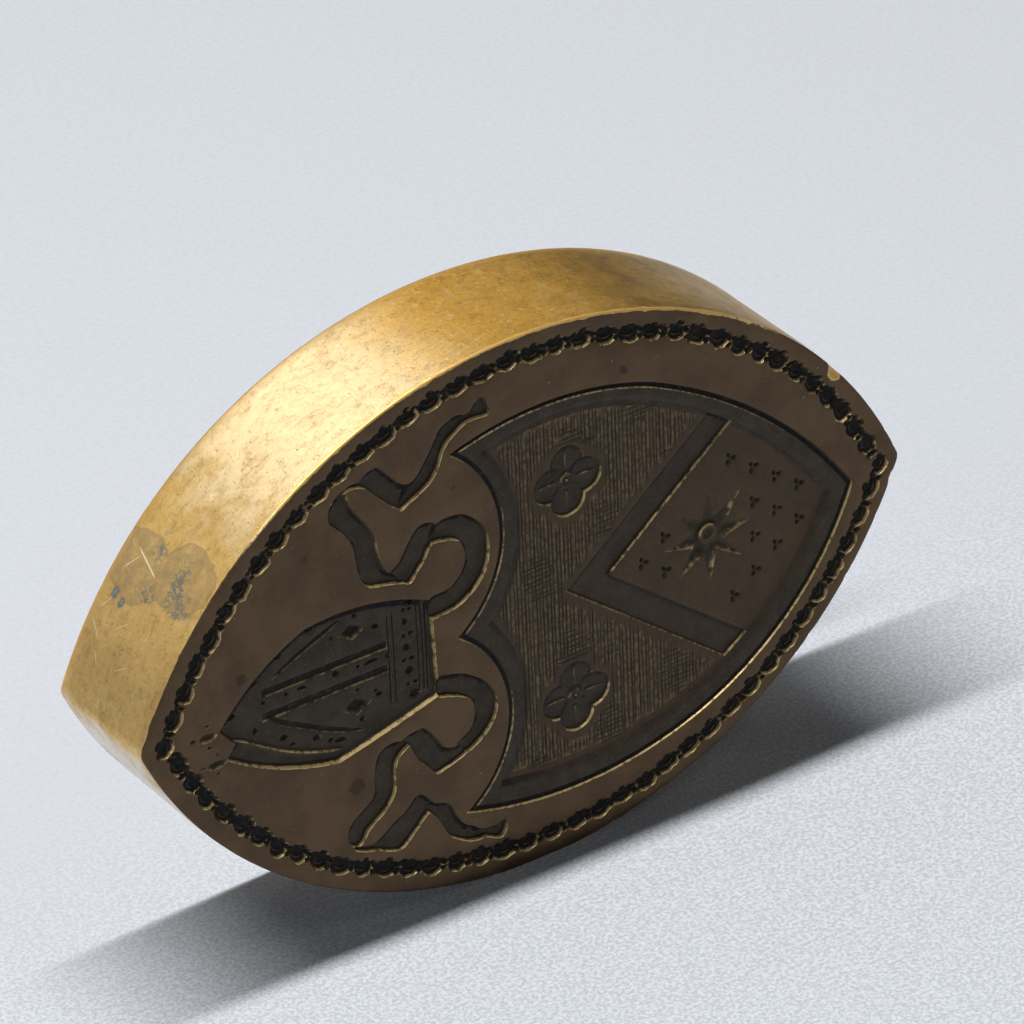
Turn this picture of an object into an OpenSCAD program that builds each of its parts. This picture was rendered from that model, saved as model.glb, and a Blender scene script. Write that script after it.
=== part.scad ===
// Desk seal: a pointed-oval brass matrix, engraved on its face and standing on its long
// edge, with a ring handle hinged to its back so that it folds flat.
// Millimetres. X runs along the oval, Y from the engraved face to the back, Z is up.
// The origin lies under the middle of the seal, on the surface that it stands on.

/* [Matrix] */
// Length of the oval, point to point
body_l = 76; // [60:0.5:95]
// Width of the oval across its middle, which stands upright
body_w = 51.5; // [42:0.5:64]
// Thickness from face to back
body_t = 12.7; // [10:0.1:20]
// How far each sharp point is worn back
point_wear = 0.1; // [0.1:0.1:1.5]
// Width of the worn flat that the seal stands on
rest_flat_w = 6; // [4:0.5:10]

/* [Engraving] */
// Distance of the border's middle line from the edge
border_inset = 2.25; // [1.6:0.05:3]
// Rosettes along each long side
border_count = 37; // [30:1:44]
// Radius of a border rosette
rosette_r = 0.95; // [0.6:0.05:1.2]
// Radius of the small link between two rosettes
link_r = 0.42; // [0.3:0.01:0.6]
// Depth of the border
border_depth = 0.5; // [0.3:0.05:1]
// Depth of the mitre
mitre_depth = 0.8; // [0.4:0.05:1.5]
// Further depth of the mitre's bars, band and lozenges
mitre_detail_depth = 0.25; // [0.1:0.05:0.6]
// Depth of the ribbons
ribbon_depth = 0.6; // [0.3:0.05:1.2]
// Further depth of a ribbon where it passes under a fold
ribbon_fold_depth = 0.15; // [0.05:0.05:0.4]
// Depth of the shield's sunk rim
shield_rim_depth = 0.4; // [0.2:0.05:0.8]
// Further depth of the shield's field
field_depth = 0.4; // [0.2:0.05:0.8]
// Further depth of the figures on the field
charge_depth = 0.4; // [0.2:0.05:0.8]

/* [Hinge] */
// Length of the hinge plate along the oval
plate_l = 26; // [24:0.5:32]
// Width of the hinge plate across the oval
plate_w = 26; // [24:0.5:32]
// Thickness of the hinge plate
plate_t = 1.8; // [1.6:0.1:3]
// Corner radius of the hinge plate
plate_corner_r = 3; // [1:0.5:4]
// Radius of the knuckle and of the rounded lugs
knuckle_r = 3.2; // [2.8:0.1:4]
// Length of the handle's knuckle
knuckle_l = 9; // [7:0.5:10]
// Thickness of each lug
lug_t = 2.6; // [2:0.1:3]
// Radius of the hinge pin
pin_r = 1.5; // [1:0.1:2]
// Thickness of a pin head
pin_head_t = 0.9; // [0.6:0.1:1.2]
// Thickness of a washer
washer_t = 0.5; // [0.3:0.05:0.8]

/* [Handle] */
// Radius from the ring's centre to the middle of its bar
ring_r = 9.5; // [8:0.5:11]
// Radius of the ring's round bar
ring_bar_r = 1.9; // [1.5:0.1:2.4]
// Distance from the hinge pin to the ring's centre
ring_reach = 18; // [16.5:0.5:20]
// Radius of the neck between knuckle and ring
neck_r = 1.7; // [1.2:0.1:2]
// Radius of the bead on the neck
neck_bead_r = 2.4; // [2:0.1:2.8]

/* [Screws] */
// Distance of the screws from the plate's edges
screw_edge = 3.6; // [3:0.1:4.5]
// Radius of a screw's head
screw_head_r = 2.2; // [1.8:0.1:2.6]
// Radius of a screw's shank
screw_r = 1.2; // [0.8:0.1:1.4]
// Length of a screw, head included
screw_l = 7; // [5:0.5:9]
// Width and depth of a screw's slot
screw_slot = 0.5; // [0.3:0.05:0.7]

/* [Fits] */
// Radial clearance of the knuckle on its pin
running_gap = 0.05; // [0.02:0.01:0.1]
// Clearance round fixed pins, washers and screws
fixed_gap = 0.03; // [0.02:0.01:0.1]
// Clearance between the knuckle's end and a washer
end_gap = 0.1; // [0.05:0.05:0.3]
// Clearance between the knuckle and the plate
fold_gap = 0.35; // [0.3:0.05:1]

/* [Hidden] */
$fn = 96;
// Facets of the small round cuts
small_fn = 24;
// Degrees between points along a drawn arc
arc_step = 8;
// How far a cut reaches past the surface that it starts from
over = 1;

// Each long side is one arc, and the two arcs would meet in sharp points
sharp_half_l = body_l / 2 + point_wear;
half_w = body_w / 2;
arc_r = (sharp_half_l * sharp_half_l + half_w * half_w) / (2 * half_w);
arc_shift = arc_r - half_w;
rest_flat_depth = arc_r - sqrt(arc_r * arc_r - rest_flat_w * rest_flat_w / 4);
centre_z = half_w - rest_flat_depth;

// Heights above the back, and the depth of the whole seal
pin_rise = plate_t + fold_gap + knuckle_r;
whole_depth = body_t + pin_rise + knuckle_r;
face_y = -whole_depth / 2;
back_y = face_y + body_t;
pin_y = back_y + pin_rise;

// Places along the hinge, counted from its middle
washer_in = knuckle_l / 2 + end_gap;
lug_in = washer_in + washer_t;
lug_out = lug_in + lug_t;
screw_x = plate_l / 2 - screw_edge;
screw_z = plate_w / 2 - screw_edge;
screw_head_t = screw_head_r - screw_r;
pin_head_r = (pin_r + knuckle_r) / 2;

// The device is drawn for an oval of this size, and follows the real one
drawn_l = 76;
drawn_w = 51.5;
function on_face(p) = [p.x * body_l / drawn_l, p.y * body_w / drawn_w];

// Border line: angle from the middle of a side to the point where both lines meet
border_r = arc_r - border_inset;
border_half_angle = acos(arc_shift / border_r);
function border_spot(k) =
    let(a = border_half_angle * (2 * k / border_count - 1))
    [border_r * sin(a), border_r * cos(a) - arc_shift];

// Outlines: each corner is [x, z, bulge of the arc that leads to the next corner]
mitre_line = [
    [-30.6, -0.5, 0.7], [-22, 6, 1], [-9.7, 4, 0], [-9.4, -5.4, 0.1],
    [-19.3, -8, 0.7], [-30.1, -3.4, 0], [-29.2, -2.3, 0]
];
shield_line = [
    [-7.3, 17.05, 1.8], [13, 16.5, 1.9], [33.1, -0.8, 3.3],
    [13, -18.75, 1.5], [-7.2, -18, -4.65], [-7.3, -0.65, -4.6]
];
field_line = [
    [-3.9, 16.3, 1.2], [12.5, 15, 1.9], [31, -0.8, 2.9],
    [12.5, -17, 1], [-3.8, -17, -2.7], [-4, -0.7, -2.8]
];

// Ribbons: each strand runs along [x, z, half its width], and folds where the next begins
upper_ribbon = [
    [
        [-9.8, 3.2, 0.85], [-7.9, 3.35, 0.95], [-6.2, 4.2, 1.05], [-5.1, 6, 1.1],
        [-5.1, 7.8, 1.1], [-5.9, 9.5, 1], [-7.3, 10.4, 0.75], [-9.2, 10.4, 0.65]
    ],
    [[-9.9, 11, 0.75], [-10.6, 9.8, 0.95], [-11.4, 8.6, 0.95], [-12.4, 7.4, 0.8]],
    [
        [-12.6, 7.35, 0.7], [-14.4, 7.9, 0.75], [-15.4, 9.2, 1], [-15.7, 11.2, 1.05],
        [-16.3, 13.2, 1.1], [-17.4, 15, 1.1], [-18.2, 16.4, 0.85]
    ],
    [
        [-18.4, 16.95, 0.15], [-17.2, 17.5, 0.15], [-16, 17.5, 0.3], [-14.8, 17.4, 0.9],
        [-13.6, 16.5, 0.95], [-12.5, 15.3, 0.95], [-11.8, 14.7, 0.8]
    ],
    [
        [-12, 14.8, 0.75], [-10.8, 15.2, 0.75], [-9.6, 16, 0.85], [-8.7, 17.3, 0.8],
        [-7.9, 18.8, 0.75], [-6.8, 19.7, 0.6], [-5.5, 20, 0.3], [-4.6, 20.3, 0.5],
        [-3.35, 20.45, 0.8]
    ]
];
lower_ribbon = [
    [
        [-9.5, -4.55, 0.85], [-7.7, -4.95, 0.95], [-6.1, -5.75, 1.05], [-5.1, -7.3, 1.05],
        [-5.05, -8.9, 1.05], [-5.8, -10.4, 1], [-7.3, -11.4, 0.7]
    ],
    [
        [-7, -11.7, 0.5], [-8.6, -11.8, 0.95], [-10, -11, 1.05], [-10.9, -9.8, 1.1],
        [-11.8, -8.8, 0.8], [-12.7, -8.65, 0.4]
    ],
    [
        [-12.7, -8.7, 0.35], [-14.1, -8.95, 0.75], [-15.05, -10, 0.95], [-15.3, -11.8, 0.95],
        [-15.8, -13.4, 0.95], [-17, -14.6, 0.95], [-18.1, -15.6, 0.85], [-18.5, -16.5, 0.4]
    ],
    [
        [-18.4, -16.9, 0.15], [-17, -17.5, 0.25], [-15.4, -17.5, 0.8], [-13.9, -17, 1],
        [-12.6, -16, 0.95], [-11.6, -15.3, 0.8]
    ],
    [
        [-11.6, -15.4, 0.6], [-10.2, -16.4, 0.65], [-9.2, -17.9, 0.65], [-8.2, -19.2, 0.6],
        [-7, -20.2, 0.5], [-5.9, -20.6, 0.3], [-4.8, -20.9, 0.5], [-3.6, -21, 0.7]
    ]
];

// Mitre: the two bars, the jewelled band at the brim and the two lozenges
mitre_bar = [12.4, 0.7];
mitre_bar_spots = [[-19.8, 0.95], [-19.8, -1.35]];
mitre_band = [1.6, 8.4];
mitre_band_spot = [-11.7, -0.4];
lozenge = [2.9, 1.8];
lozenge_spots = [[-17, 3.5], [-16.9, -3.8]];

// Shield: a chevron between two quatrefoils and a star
shield_axis_z = -0.8;
chevron_tip_x = 4;
chevron_band = 4.4;
chevron_reach = 24;
chevron_slope = 0.8;
quatrefoil_spots = [[4.6, 9.8], [4.6, -11.4]];
quatrefoil_lobe_r = 1.7;
lobe_overlap = 0.2;
star_spot = [18.6, -0.8];
star_r = 4.6;
star_waist_r = 1.9;
star_points = 8;

// Points of an arc from p towards q that bulges by s to the left of the way
function turned(v, a) = [v.x * cos(a) - v.y * sin(a), v.x * sin(a) + v.y * cos(a)];
function arc_run(p, q, s) =
    s == 0 ? [p] :
    let(
        way = q - p,
        chord = norm(way),
        left = [-way.y, way.x] / chord,
        radius = (chord * chord / 4 + s * s) / (2 * s),
        middle = (p + q) / 2 + left * (s - radius),
        sweep = -4 * atan(2 * s / chord),
        steps = max(2, ceil(abs(sweep) / arc_step))
    )
    [for (k = [0:steps - 1]) middle + turned(p - middle, sweep * k / steps)];
function outline(corners) = [
    for (i = [0:len(corners) - 1])
        let(a = corners[i], b = corners[(i + 1) % len(corners)])
        each arc_run(on_face(a), on_face(b), a[2])
];

// A smooth strand with its two edges, from [x, z, half width] points
strand_steps = 3;
function spline(a, b, c, d, t) =
    (2 * b + (c - a) * t + (2 * a - 5 * b + 4 * c - d) * t * t + (3 * b - a - 3 * c + d) * t * t * t) / 2;
function smooth(p) = [
    for (i = [0:len(p) - 2], k = [0:strand_steps - 1])
        spline(p[max(i - 1, 0)], p[i], p[i + 1], p[min(i + 2, len(p) - 1)], k / strand_steps),
    p[len(p) - 1]
];
function heading(s, i) =
    let(a = s[max(i - 1, 0)], b = s[min(i + 1, len(s) - 1)], way = [b.x - a.x, b.y - a.y])
    way / norm(way);
function edge(s, hand) = [
    for (i = [0:len(s) - 1])
        let(h = heading(s, i))
        on_face([s[i].x - hand * h.y * s[i].z, s[i].y + hand * h.x * s[i].z])
];
function backwards(v) = [for (i = [len(v) - 1:-1:0]) v[i]];
function strand(p) = let(s = smooth(p)) concat(edge(s, 1), backwards(edge(s, -1)));

// A flat shape, drawn on the face, as a cut of the given depth
module engrave(depth) {
    translate([0, face_y + depth, centre_z])
        rotate([90, 0, 0])
            linear_extrude(depth + over)
                children();
}

// A cylinder along Y between two depths
module along_y(r, from, to) {
    translate([0, from, 0])
        rotate([-90, 0, 0])
            cylinder(h = to - from, r = r);
}

// A cylinder along Z between two heights
module along_z(r, from, to) {
    translate([0, 0, from])
        cylinder(h = to - from, r = r);
}

module oval_block() {
    intersection() {
        translate([0, 0, centre_z + arc_shift]) along_y(arc_r, face_y, back_y);
        translate([0, 0, centre_z - arc_shift]) along_y(arc_r, face_y, back_y);
        translate([0, 0, centre_z]) along_y(body_l / 2, face_y, back_y);
        translate([-body_l, face_y, 0]) cube([2 * body_l, body_t, body_w]);
    }
}

module border_cuts() {
    engrave(border_depth)
        for (turn = [0, 180], k = [0:border_count - 1])
            rotate(turn) {
                translate(border_spot(k)) circle(rosette_r, $fn = small_fn);
                translate(border_spot(k + 0.5)) circle(link_r, $fn = small_fn);
            }
}

module mitre_cuts() {
    engrave(mitre_depth) polygon(outline(mitre_line));
    engrave(mitre_depth + mitre_detail_depth) {
        for (spot = mitre_bar_spots) translate(on_face(spot)) square(mitre_bar, center = true);
        translate(on_face(mitre_band_spot)) square(mitre_band, center = true);
        for (spot = lozenge_spots) translate(on_face(spot)) lozenge_shape();
    }
}

module lozenge_shape() {
    polygon([[-lozenge.x, 0] / 2, [0, lozenge.y] / 2, [lozenge.x, 0] / 2, [0, -lozenge.y] / 2]);
}

module ribbon_cuts(strands) {
    for (i = [0:len(strands) - 1])
        engrave(ribbon_depth + (i % 2) * ribbon_fold_depth) polygon(strand(strands[i]));
}

module chevron_shape() {
    rise = chevron_reach * chevron_slope;
    polygon([
        for (p = [
            [0, 0], [chevron_reach, rise], [chevron_reach + chevron_band, rise],
            [chevron_band, 0], [chevron_reach + chevron_band, -rise], [chevron_reach, -rise]
        ]) on_face([chevron_tip_x, shield_axis_z] + p)
    ]);
}

module star_shape() {
    polygon([
        for (k = [0:2 * star_points - 1])
            let(r = k % 2 == 0 ? star_r : star_waist_r, a = 180 * k / star_points)
            on_face(star_spot) + r * [cos(a), sin(a)]
    ]);
}

module quatrefoil_cuts() {
    engrave(shield_rim_depth + field_depth + charge_depth)
        for (spot = quatrefoil_spots)
            translate(on_face(spot))
                for (turn = [0:90:270])
                    rotate(turn)
                        translate([quatrefoil_lobe_r, 0])
                            circle(quatrefoil_lobe_r + lobe_overlap, $fn = small_fn);
}

module shield_cuts() {
    engrave(shield_rim_depth) polygon(outline(shield_line));
    engrave(shield_rim_depth + field_depth) polygon(outline(field_line));
    engrave(shield_rim_depth + field_depth + charge_depth) star_shape();
    intersection() {
        engrave(shield_rim_depth + field_depth + charge_depth) chevron_shape();
        engrave(body_t) polygon(outline(field_line));
    }
    quatrefoil_cuts();
}

// Runs its children once at each screw, with Y along the screw
module at_screws() {
    for (x = [-screw_x, screw_x], z = [-screw_z, screw_z])
        translate([x, back_y, centre_z + z])
            children();
}

module matrix() {
    color("#a8843f")
    difference() {
        oval_block();
        border_cuts();
        mitre_cuts();
        ribbon_cuts(upper_ribbon);
        ribbon_cuts(lower_ribbon);
        shield_cuts();
        at_screws() along_y(screw_r + fixed_gap, plate_t - screw_l - over, over);
    }
}

module plate_shape() {
    x = plate_l / 2;
    z = plate_w / 2;
    r = plate_corner_r;
    bulge = r * (1 - sqrt(2) / 2);
    corners = [
        [-x, z - r, bulge], [r - x, z, 0], [x - r, z, bulge], [x, z - r, 0],
        [x, r - z, bulge], [x - r, -z, 0], [r - x, -z, bulge], [-x, r - z, 0]
    ];
    polygon([
        for (i = [0:len(corners) - 1])
            let(a = corners[i], b = corners[(i + 1) % len(corners)])
            each arc_run([a.x, a.y], [b.x, b.y], a[2])
    ]);
}

module lug() {
    translate([0, pin_y, centre_z]) {
        along_z(knuckle_r, lug_in, lug_out);
        translate([-knuckle_r, -pin_rise + plate_t / 2, lug_in])
            cube([2 * knuckle_r, pin_rise - plate_t / 2, lug_t]);
    }
}

module hinge_plate() {
    color("#b8923f")
    difference() {
        union() {
            translate([0, back_y + plate_t, centre_z])
                rotate([90, 0, 0])
                    linear_extrude(plate_t)
                        plate_shape();
            lug();
            translate([0, 0, 2 * centre_z]) mirror([0, 0, 1]) lug();
        }
        translate([0, pin_y, centre_z]) along_z(pin_r + fixed_gap, -lug_out - over, lug_out + over);
        at_screws() {
            along_y(screw_r + fixed_gap, -over, plate_t + over);
            countersink(fixed_gap);
        }
    }
}

// The cone of a screw's head, flush with the plate's top
module countersink(gap) {
    translate([0, plate_t - screw_head_t, 0])
        rotate([-90, 0, 0])
            cylinder(h = screw_head_t, r1 = screw_r + gap, r2 = screw_head_r + gap);
}

module plate_screws() {
    color("#8f7a4a")
    at_screws()
        difference() {
            union() {
                along_y(screw_r, plate_t - screw_l, plate_t - screw_head_t / 2);
                countersink(0);
            }
            translate([-screw_head_r - over, plate_t - screw_slot, -screw_slot / 2])
                cube([2 * (screw_head_r + over), screw_slot + over, screw_slot]);
        }
}

// Half section of the turned neck, with its bead next to the knuckle
module neck_shape() {
    square([neck_r, ring_reach - ring_r]);
    intersection() {
        translate([0, knuckle_r + neck_bead_r / 2]) circle(neck_bead_r);
        square([neck_bead_r, ring_reach]);
    }
}

module handle() {
    color("#b8923f")
    translate([0, pin_y, centre_z])
        difference() {
            union() {
                along_z(knuckle_r, -knuckle_l / 2, knuckle_l / 2);
                rotate([0, 90, 0]) rotate_extrude() neck_shape();
                translate([ring_reach, 0, 0])
                    rotate([90, 0, 0])
                        rotate_extrude()
                            translate([ring_r, 0]) circle(ring_bar_r);
            }
            along_z(pin_r + running_gap, -knuckle_l / 2 - over, knuckle_l / 2 + over);
        }
}

module hinge_pin() {
    color("#9a8a6a")
    translate([0, pin_y, centre_z]) {
        along_z(pin_r, -lug_out - pin_head_t / 2, lug_out + pin_head_t / 2);
        along_z(pin_head_r, lug_out, lug_out + pin_head_t);
        along_z(pin_head_r, -lug_out - pin_head_t, -lug_out);
    }
}

module washers() {
    color("#c7a458")
    translate([0, pin_y, centre_z])
        for (low = [washer_in, -lug_in])
            difference() {
                along_z(knuckle_r, low, low + washer_t);
                along_z(pin_r + fixed_gap, low - over, low + washer_t + over);
            }
}

matrix();
hinge_plate();
handle();
hinge_pin();
plate_screws();
washers();
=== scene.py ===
import math

import bmesh
import bpy
import numpy as np
from mathutils import Matrix, Vector, kdtree
from mathutils.geometry import delaunay_2d_cdt


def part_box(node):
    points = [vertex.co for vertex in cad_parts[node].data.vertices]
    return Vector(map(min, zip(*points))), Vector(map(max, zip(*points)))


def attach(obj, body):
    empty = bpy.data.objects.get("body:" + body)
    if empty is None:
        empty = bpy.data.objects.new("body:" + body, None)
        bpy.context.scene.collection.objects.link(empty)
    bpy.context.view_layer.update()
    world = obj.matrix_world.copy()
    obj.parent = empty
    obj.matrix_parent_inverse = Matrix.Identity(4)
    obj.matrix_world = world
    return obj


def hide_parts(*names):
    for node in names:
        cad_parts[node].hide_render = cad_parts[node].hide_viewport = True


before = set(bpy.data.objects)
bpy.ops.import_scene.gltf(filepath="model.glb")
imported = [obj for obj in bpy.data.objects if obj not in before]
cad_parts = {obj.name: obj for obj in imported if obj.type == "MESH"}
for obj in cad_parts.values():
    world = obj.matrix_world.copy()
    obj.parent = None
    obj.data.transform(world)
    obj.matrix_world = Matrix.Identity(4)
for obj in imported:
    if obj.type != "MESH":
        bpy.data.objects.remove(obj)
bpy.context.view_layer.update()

# Desk seal: a pointed-oval brass matrix with a sunk device on its dark face, bright worn sides
# and a folding ring handle on its back. Shapes are worked out in millimetres on the face,
# with u along the oval and v up from its middle, and go into the scene in metres.
MM = 0.001
rng = np.random.default_rng(11)

# Sizes of the matrix, taken from its solid
matrix_low, matrix_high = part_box("matrix")
FACE_Y = matrix_low.y / MM
BACK_Y = matrix_high.y / MM
HALF_L = matrix_high.x / MM
HALF_W = 25.75
POINT_WEAR = 0.1
CENTRE_Z = matrix_high.z / MM - HALF_W
SHARP_HALF_L = HALF_L + POINT_WEAR
ARC_R = (SHARP_HALF_L**2 + HALF_W**2) / (2 * HALF_W)
ARC_SHIFT = ARC_R - HALF_W

# Spacing of points along the edge, along drawn lines and over the plain face
EDGE_SAMPLES = 6000
EDGE_STEP = 0.33
LINE_STEP = 0.26
FILL_STEP = 0.8
FILL_CLEAR = 0.32
FILL_STRAY = 0.2

# Materials of the matrix, in the order of its slots
FACE, SIDE, BACK = range(3)

# Worn rims: usual radius at the face and at the back, and how much it wanders
FACE_RIM = 0.16
BACK_RIM = 0.35
RIM_WANDER = 0.02
RIM_STEPS = 3
# Wear over 1 shows as the orange of a worn edge; along the top of the rim it is also a painted highlight
RIM_WEAR = 2.0
BACK_RIM_WEAR = 0.7
BACK_WEAR_REACH = 0.5
# The upper rim of the face, where it catches the light, is painted bright from one u to another, with soft
# ends, and a little wider there: worn edge and painted highlight
RUBBED_FROM = -28
RUBBED_TO = 27
RUBBED_FADES = (6, 8)
RUBBED_RIM = 0.04
# A rim wider than this is a bite of bare metal, fully bare after the fade
BITE_RIM = 0.5
BITE_FADE = 0.3
# The side: rows of points across it, closer together near the face, how much it wanders, and its
# rounding towards the face
SIDE_ROWS = 12
ROW_CROWDING = 1.4
FIRST_ROW = 0.035
# Share of the rim's rub, worn edge and painted highlight, on the side's first rows
FIRST_ROWS_RUB = (0.8, 0.4, 0.0)
SIDE_WANDER = 0.03
SIDE_DUB = 0.07
SIDE_DUB_REACH = 2.2

# A cut's rounded lip outside its line, and how far the lip drops
LIP = 0.1
LIP_DROP = 0.03
# How far the painted shade at the foot of a wall reaches over the floor, and how much further, for each
# millimetre of depth, at the walls that face away from the light
CORNER_SHADE_REACH = 0.13
SHADE_REACH = 0.9
# Share of that painted shade that is left out at walls that face the light
LIT_WALL_SHADE_DROP = 0.8
# Shares of a wall's width from its lip, at walls that face the light: painted fully bright as worn brass
# and painted highlight, and where that ends
LIT_WORN_SHARE = 0.3
LIT_WEAR_END = 0.62
# The way towards the light, where walls get the painted highlight and walls turned from it the painted
# shade, and how soon either sets in as a wall turns
LIGHT_WAY = np.array([-0.45, 0.89])
FACING_GAIN = 1.5
# Cuts whose walls are painted brighter than this, as worn brass and painted highlight, get more points
# across their walls
FINE_SHINE = 0.55
# Corners sharper than this are cut short when a line is moved
SHARPEST = 0.55
# A cut shows where it comes this near to the deepest of its layer
LAYER_SLACK = 0.05


# Shapes drawn on the face

def unit(v):
    return v / np.maximum(np.linalg.norm(v, axis=-1, keepdims=True), 1e-9)


def left_of(v):
    return np.stack([-v[..., 1], v[..., 0]], -1)


def counter_clockwise(line):
    after = np.roll(line, -1, 0)
    area = (line[:, 0] * after[:, 1] - line[:, 1] * after[:, 0]).sum()
    return line if area > 0 else line[::-1]


def arc_run(p, q, bulge):
    """Points of an arc from p up to q that bulges to the left of the way."""
    p, q = np.array(p, float), np.array(q, float)
    way = q - p
    chord = np.linalg.norm(way)
    if bulge == 0:
        steps = max(1, math.ceil(chord / LINE_STEP / 2))
        return p + way * np.arange(steps)[:, None] / steps
    radius = (chord**2 / 4 + bulge**2) / (2 * bulge)
    middle = (p + q) / 2 + left_of(way) / chord * (bulge - radius)
    sweep = -4 * math.atan(2 * bulge / chord)
    steps = max(3, math.ceil(abs(sweep * radius) / LINE_STEP))
    turn = sweep * np.arange(steps) / steps
    spoke = p - middle
    return middle + np.outer(np.cos(turn), spoke) + np.outer(np.sin(turn), left_of(spoke))


def outline(corners):
    """A closed line through corners [u, v, bulge of the arc that leads to the next corner]."""
    runs = [
        arc_run(a[:2], b[:2], a[2])
        for a, b in zip(corners, corners[1:] + corners[:1])
    ]
    return counter_clockwise(np.concatenate(runs))


def smooth(points):
    """A smooth run through points of any width, with points about one line step apart."""
    p = np.array(points, float)
    runs = []
    for i in range(len(p) - 1):
        a, b, c, d = p[max(i - 1, 0)], p[i], p[i + 1], p[min(i + 2, len(p) - 1)]
        steps = max(2, math.ceil(np.linalg.norm((c - b)[:2]) / LINE_STEP))
        t = np.arange(steps)[:, None] / steps
        square = 2 * a - 5 * b + 4 * c - d
        cube = 3 * b - a - 3 * c + d
        runs.append((2 * b + (c - a) * t + square * t**2 + cube * t**3) / 2)
    return np.concatenate(runs + [p[-1:]])


def loop(points):
    """A smooth closed line through points."""
    p = np.array(points, float)
    closed = smooth(np.concatenate([p[-2:], p, p[:3]]))
    first = np.linalg.norm(closed - p[0], axis=1).argmin()
    last = first + 1 + np.linalg.norm(closed[first + 1:] - p[0], axis=1).argmin()
    return counter_clockwise(closed[first:last])


def strand(points):
    """A closed line round a strand that runs along [u, v, half its width]."""
    s = smooth(points)
    side = left_of(unit(np.gradient(s[:, :2], axis=0))) * s[:, 2:]
    return counter_clockwise(np.concatenate([s[:, :2] + side, (s[:, :2] - side)[::-1]]))


def stroke(points, half_width):
    return strand([[u, v, half_width] for u, v in points])


def ring(spot, radii, count, turn=0.0):
    """A closed oval line round a spot."""
    a = 2 * math.pi * np.arange(count) / count
    oval = np.stack([radii[0] * np.cos(a), radii[1] * np.sin(a)], -1)
    c, s = math.cos(turn), math.sin(turn)
    return np.array(spot) + oval @ np.array([[c, s], [-s, c]])


def diamond(spot, size):
    corners = [[-size[0], 0], [0, -size[1]], [size[0], 0], [0, size[1]]]
    return outline([[spot[0] + u / 2, spot[1] + v / 2, 0] for u, v in corners])


def block(spot, size):
    corners = [[-1, -1], [1, -1], [1, 1], [-1, 1]]
    return outline([[spot[0] + a * size[0] / 2, spot[1] + b * size[1] / 2, 0] for a, b in corners])


def moved_in(line, distance):
    """A closed line moved inwards by a distance, or outwards where that is negative."""
    before = left_of(unit(line - np.roll(line, 1, 0)))
    after = left_of(unit(np.roll(line, -1, 0) - line))
    inwards = unit(before + after)
    stretch = 1 / np.maximum((inwards * before).sum(-1, keepdims=True), SHARPEST)
    return line + inwards * stretch * distance


def nearest_edge(points, line):
    """Distance of each point from a closed line, positive inside it, and the way inwards there."""
    a, b = line, np.roll(line, -1, 0)
    way = b - a
    rel = points[:, None] - a
    t = np.clip((rel * way).sum(-1) / np.maximum((way**2).sum(-1), 1e-12), 0, 1)
    gaps = np.linalg.norm(rel - way * t[..., None], axis=-1)
    first = gaps.argmin(1)
    gap = gaps[np.arange(len(points)), first]
    above = a[:, 1] > points[:, 1, None]
    crosses = above != (b[:, 1] > points[:, 1, None])
    rise = np.where(np.abs(way[:, 1]) < 1e-12, 1e-12, way[:, 1])
    reach = a[:, 0] + (points[:, 1, None] - a[:, 1]) * way[:, 0] / rise
    inside = (crosses & (points[:, 0, None] < reach)).sum(1) % 2 == 1
    return np.where(inside, gap, -gap), left_of(unit(way))[first]


def depth_inside(points, line):
    return nearest_edge(points, line)[0]


# Cuts: how the floor falls away from a cut's line

def steep(t):
    return t


def bowl(t):
    return 1 - (1 - t) ** 2


def soft(t):
    return t * t * (3 - 2 * t)


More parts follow.
